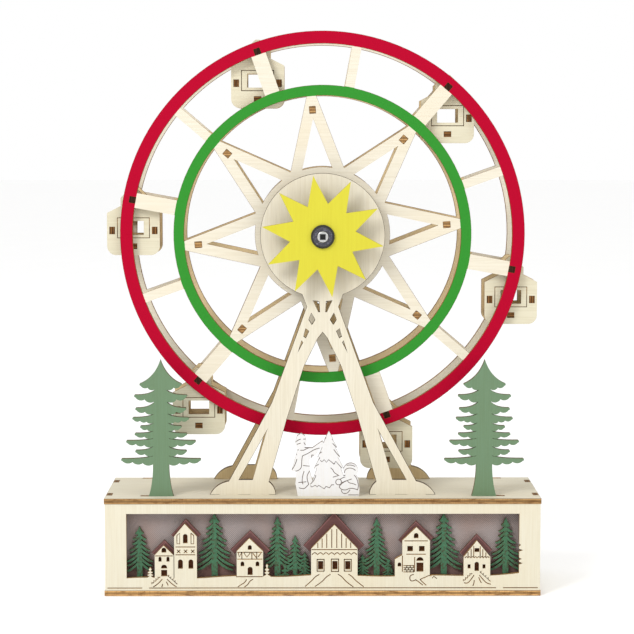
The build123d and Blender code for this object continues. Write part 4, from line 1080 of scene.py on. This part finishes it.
class FERRIS_OT_supports(bpy.types.Operator):
    """Dresses the two supports"""

    bl_idname = "ferris.supports"
    bl_label = "Supports"

    def execute(self, context):
        wood = context.scene.ferris_wood
        arris = context.scene.ferris_engraving.support_arris
        # darker cut edges on the supports: partly their real scorch, partly painted shade along the
        # edges
        burnt, charred = shaded(wood.burnt, 0.52), shaded(wood.charred, 0.50)
        # the rear support takes the tan of painted shade
        for node, face in (("front_support", wood.support), ("rear_support", wood.painted_shade_ply)):
            board(node, face, "Y", "Z", burnt, charred, arris)
        return {"FINISHED"}


class FERRIS_OT_wheel(bpy.types.Operator):
    """Dresses the wheel and paints its two rings"""

    bl_idname = "ferris.wheel"
    bl_label = "Wheel"

    red_inner: radius_setting("Red from", "Where the red paint starts, in mm", 136.8)
    red_outer: radius_setting("Red to", "Where the red paint ends, in mm", 147.0)
    green_inner: radius_setting("Green from", "Where the green paint starts, in mm", 99.7)
    green_outer: radius_setting("Green to", "Where the green paint ends, in mm", 107.7)
    # radius out to which the rear plate's middle is painted tan as painted shade
    painted_shade_zone: radius_setting("Inner zone", "Radius of the rear plate's darker middle, in mm", 112.0)

    def execute(self, context):
        wood = context.scene.ferris_wood
        paint = context.scene.ferris_paint
        arris = context.scene.ferris_engraving.arris
        cut_edge = (wood.burnt[0] * 0.95, wood.burnt[1] * 0.89, wood.burnt[2] * 0.79)
        rings = [
            (self.red_inner, self.red_outer, paint.red),
            (self.green_inner, self.green_outer, paint.green),
        ]
        for node, called, paints in (
            ("wheel_front_plate", "painted_wheel_plate", rings),
            # the rear plate's middle is painted tan as painted shade behind the front plate
            ("wheel_rear_plate", "rear_plate_with_painted_shade", [(0.0, self.painted_shade_zone, wood.painted_shade_ply)]),
        ):
            looks = {"called": called, "paint": paints}
            board(node, wood.wheel, "Y", "X", cut_edge, wood.charred, arris, **looks)
        bar_ends = shaded(wood.burnt, 0.88)
        sheet = ("Z", 0.0, BAR_THICKNESS)
        ties = plywood("tie_bars", wood.wheel, sheet, "Y", bar_ends, wood.charred)
        dress("tie_bars", ties, arris)
        sheet = ("X", 0.0, BAR_THICKNESS)
        dark = shaded(wood.end_grain, 0.70)
        hangers = plywood("hanger_bars", wood.gondola, sheet, "Y", wood.end_grain, dark)
        dress("hanger_bars", hangers, arris)
        return {"FINISHED"}


class FERRIS_OT_hub(bpy.types.Operator):
    """Dresses the axle, its spacers, the sun, its washer and its screw"""

    bl_idname = "ferris.hub"
    bl_label = "Hub and sun"

    def execute(self, context):
        wood = context.scene.ferris_wood
        paint = context.scene.ferris_paint
        turned = turned_wood("turned_wood", wood.turned, "Y")
        for node in ("axle", "sun_spacer", "front_hub_spacer", "rear_hub_spacer"):
            dress(node, turned)
        arris = context.scene.ferris_engraving.arris
        looks = {"called": "sun_paint", "grain_show": 0.4}
        board("sun", paint.sun, "Y", "Z", shaded(wood.burnt, 0.85), wood.charred, arris, **looks)
        dress("sun_washer", rubber("washer_rubber"))
        # place of the painted shade over the screw's recess
        recess = ((0.0, 0.0, AXLE.z / MM), SCREW_RECESS_SHADE / 2)
        dress("sun_screw", metal("plated_screw", *SCREW_STEEL, recess=recess))
        return {"FINISHED"}


class FERRIS_OT_crank(bpy.types.Operator):
    """Dresses the crank at the rear"""

    bl_idname = "ferris.crank"
    bl_label = "Crank"

    def execute(self, context):
        wood = context.scene.ferris_wood
        arris = context.scene.ferris_engraving.arris
        board("crank_arm", wood.support, "Y", "Z", wood.burnt, wood.charred, arris)
        dress("crank_knob", turned_wood("knob_wood", shaded(wood.turned, 0.94), "Y"))
        steel = metal("zinc_steel", *CRANK_STEEL)
        for node in ("crank_washer", "knob_pin", "crank_screw"):
            dress(node, steel)
        return {"FINISHED"}


class FERRIS_OT_gondolas(bpy.types.Operator):
    """Dresses the gondolas and engraves the frames round their windows"""

    bl_idname = "ferris.gondolas"
    bl_label = "Gondolas"

    def execute(self, context):
        wood = context.scene.ferris_wood
        engraving = context.scene.ferris_engraving
        burnt = shaded(wood.burnt, 0.85)
        looks = {"engraved": shaded(wood.engraved, 0.86)}
        plates = {}
        # the rear plates take the tan of painted warm shade
        for end, face in (("front", wood.gondola), ("rear", wood.painted_shade_ply)):
            sheet = sheet_of(f"gondola_1_{end}_plate", "Y")
            plates[end] = plywood(f"gondola_{end}", face, sheet, "X", burnt, wood.charred, **looks)
        edges = (wood.end_core, wood.end_grain)
        sheet = ("Z", 0.0, GONDOLA_PLY)
        # the floor and walls take the tan of painted warm shade inside the gondola
        floor = plywood("gondola_floor", wood.painted_shade_ply, sheet, "X", *edges)
        sheet = ("X", 0.0, GONDOLA_PLY)
        walls = plywood("gondola_walls", wood.painted_shade_ply, sheet, "Z", *edges)
        for number in GONDOLAS:
            drawn = stroke_curves(f"gondola_{number}_lines", gondola_strokes(number))
            for end in ("front", "rear"):
                node = f"gondola_{number}_{end}_plate"
                face_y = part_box(node)[0].y if end == "front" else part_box(node)[1].y
                engrave(
                    node,
                    f"gondola_{number}_{end}_engraved",
                    f"gondola_{number}",
                    drawn,
                    face_y,
                    engraving.gondola_line,
                    plates[end],
                    arris=engraving.wide_arris,
                )
            bpy.data.objects.remove(drawn)
            dress(f"gondola_{number}_walls", walls, engraving.arris)
            dress(f"gondola_{number}_floor", floor, engraving.arris)
        return {"FINISHED"}


class FERRIS_OT_scenery(bpy.types.Operator):
    """Dresses the two trees and engraves the white scene"""

    bl_idname = "ferris.scenery"
    bl_label = "Trees and white scene"

    def execute(self, context):
        wood = context.scene.ferris_wood
        paint = context.scene.ferris_paint
        engraving = context.scene.ferris_engraving
        burnt, charred = shaded(wood.burnt, 0.62), shaded(wood.charred, 0.9)
        looks = {"paint_cover": 0.25, "grain_show": 0.6}
        for node in ("left_tree", "right_tree"):
            board(node, paint.tree, "Y", "Z", burnt, charred, engraving.arris, **looks)
        sheet = sheet_of("winter_scene", "Y")
        looks = {"engraved": WHITE_ENGRAVED, "paint_cover": 0.35, "grain_show": 0.25}
        white = plywood("white_scene_paint", paint.white, sheet, "Z", *WHITE_EDGE, **looks)
        drawn = stroke_curves("white_scene_lines", white_scene_strokes())
        engrave(
            "winter_scene",
            "engraved_winter_scene",
            "base",
            drawn,
            SCENE_FRONT_Y,
            engraving.scene_line,
            white,
        )
        bpy.data.objects.remove(drawn)
        return {"FINISHED"}


class FERRIS_OT_stage(bpy.types.Operator):
    """Puts up the floor, the lights and the camera"""

    bl_idname = "ferris.stage"
    bl_label = "Stage"

    def execute(self, context):
        settings = context.scene.ferris_stage
        self.floor(context, settings.floor_radius)
        self.sky(context)
        self.area_light(context, "key_light", KEY_PLACE, settings.key_size, settings.key_energy)
        self.area_light(context, "fill_light", FILL_PLACE, FILL_SIZE, settings.fill_energy)
        camera = bpy.data.cameras.new("camera")
        camera.sensor_width = SENSOR_WIDTH
        camera.lens = settings.camera_lens
        camera.clip_end = CLIP_END
        stand = bpy.data.objects.new("camera", camera)
        stand.location = (-settings.camera_x, -settings.camera_distance, settings.camera_height)
        stand.rotation_euler = (math.radians(90) - settings.camera_pitch, 0.0, -settings.camera_yaw)
        context.scene.collection.objects.link(stand)
        context.scene.camera = stand
        context.scene.view_settings.view_transform = "Standard"
        return {"FINISHED"}

    def floor(self, context, radius):
        """Round pale floor."""
        turns = [2 * math.pi * side / FLOOR_SIDES for side in range(FLOOR_SIDES)]
        ring = [(radius * math.cos(turn), radius * math.sin(turn), 0.0) for turn in turns]
        mesh = bpy.data.meshes.new("floor")
        mesh.from_pydata(ring, [], [tuple(range(FLOOR_SIDES))])
        finish = Finish("floor", roughness=0.9, gloss=0.1)
        haze = finish.noise((0.01, 0.01, 0.01), 2.0)
        finish.colour(finish.mix(haze, *FLOOR_SHADES))
        mesh.materials.append(finish.material)
        floor = bpy.data.objects.new("floor", mesh)
        context.scene.collection.objects.link(floor)

    def sky(self, context):
        """Even white surroundings."""
        world = bpy.data.worlds.new("surroundings")
        world.use_nodes = True
        background = world.node_tree.nodes["Background"]
        background.inputs["Color"].default_value = (1.0, 1.0, 1.0, 1.0)
        background.inputs["Strength"].default_value = 1.0
        context.scene.world = world

    def area_light(self, context, name, place, size, energy):
        """Square light that faces the wheel."""
        data = bpy.data.lights.new(name, "AREA")
        data.size = size
        data.energy = energy
        lamp = bpy.data.objects.new(name, data)
        lamp.location = place
        lamp.rotation_euler = (Vector(place) - AXLE).to_track_quat("Z", "Y").to_euler()
        context.scene.collection.objects.link(lamp)


class FERRIS_PT_panel(bpy.types.Panel):
    """Buttons for each group of pieces and the settings they use"""

    bl_label = "Ferris wheel"
    bl_idname = "FERRIS_PT_panel"
    bl_space_type = "VIEW_3D"
    bl_region_type = "UI"
    bl_category = "Ferris wheel"

    def draw(self, context):
        for operator in OPERATORS:
            self.layout.operator(operator.bl_idname)
        for name, group in SETTING_GROUPS.items():
            box = self.layout.box()
            for setting in group.__annotations__:
                box.prop(getattr(context.scene, name), setting)


OPERATORS = (
    FERRIS_OT_box,
    FERRIS_OT_village,
    FERRIS_OT_supports,
    FERRIS_OT_wheel,
    FERRIS_OT_hub,
    FERRIS_OT_crank,
    FERRIS_OT_gondolas,
    FERRIS_OT_scenery,
    FERRIS_OT_stage,
)
CLASSES = (*SETTING_GROUPS.values(), *OPERATORS, FERRIS_PT_panel)


def register():
    """Registers the classes and ties the settings to the scene."""
    for each in CLASSES:
        bpy.utils.register_class(each)
    for name, group in SETTING_GROUPS.items():
        setattr(bpy.types.Scene, name, PointerProperty(type=group))


def unregister():
    """Takes everything back."""
    for name in SETTING_GROUPS:
        delattr(bpy.types.Scene, name)
    for each in reversed(CLASSES):
        bpy.utils.unregister_class(each)


def main():
    """Dresses the whole object."""
    register()
    bpy.ops.ferris.box()
    bpy.ops.ferris.village()
    bpy.ops.ferris.supports()
    bpy.ops.ferris.wheel()
    bpy.ops.ferris.hub()
    bpy.ops.ferris.crank()
    bpy.ops.ferris.gondolas()
    bpy.ops.ferris.scenery()
    bpy.ops.ferris.stage()


if __name__ == "__main__":
    main()
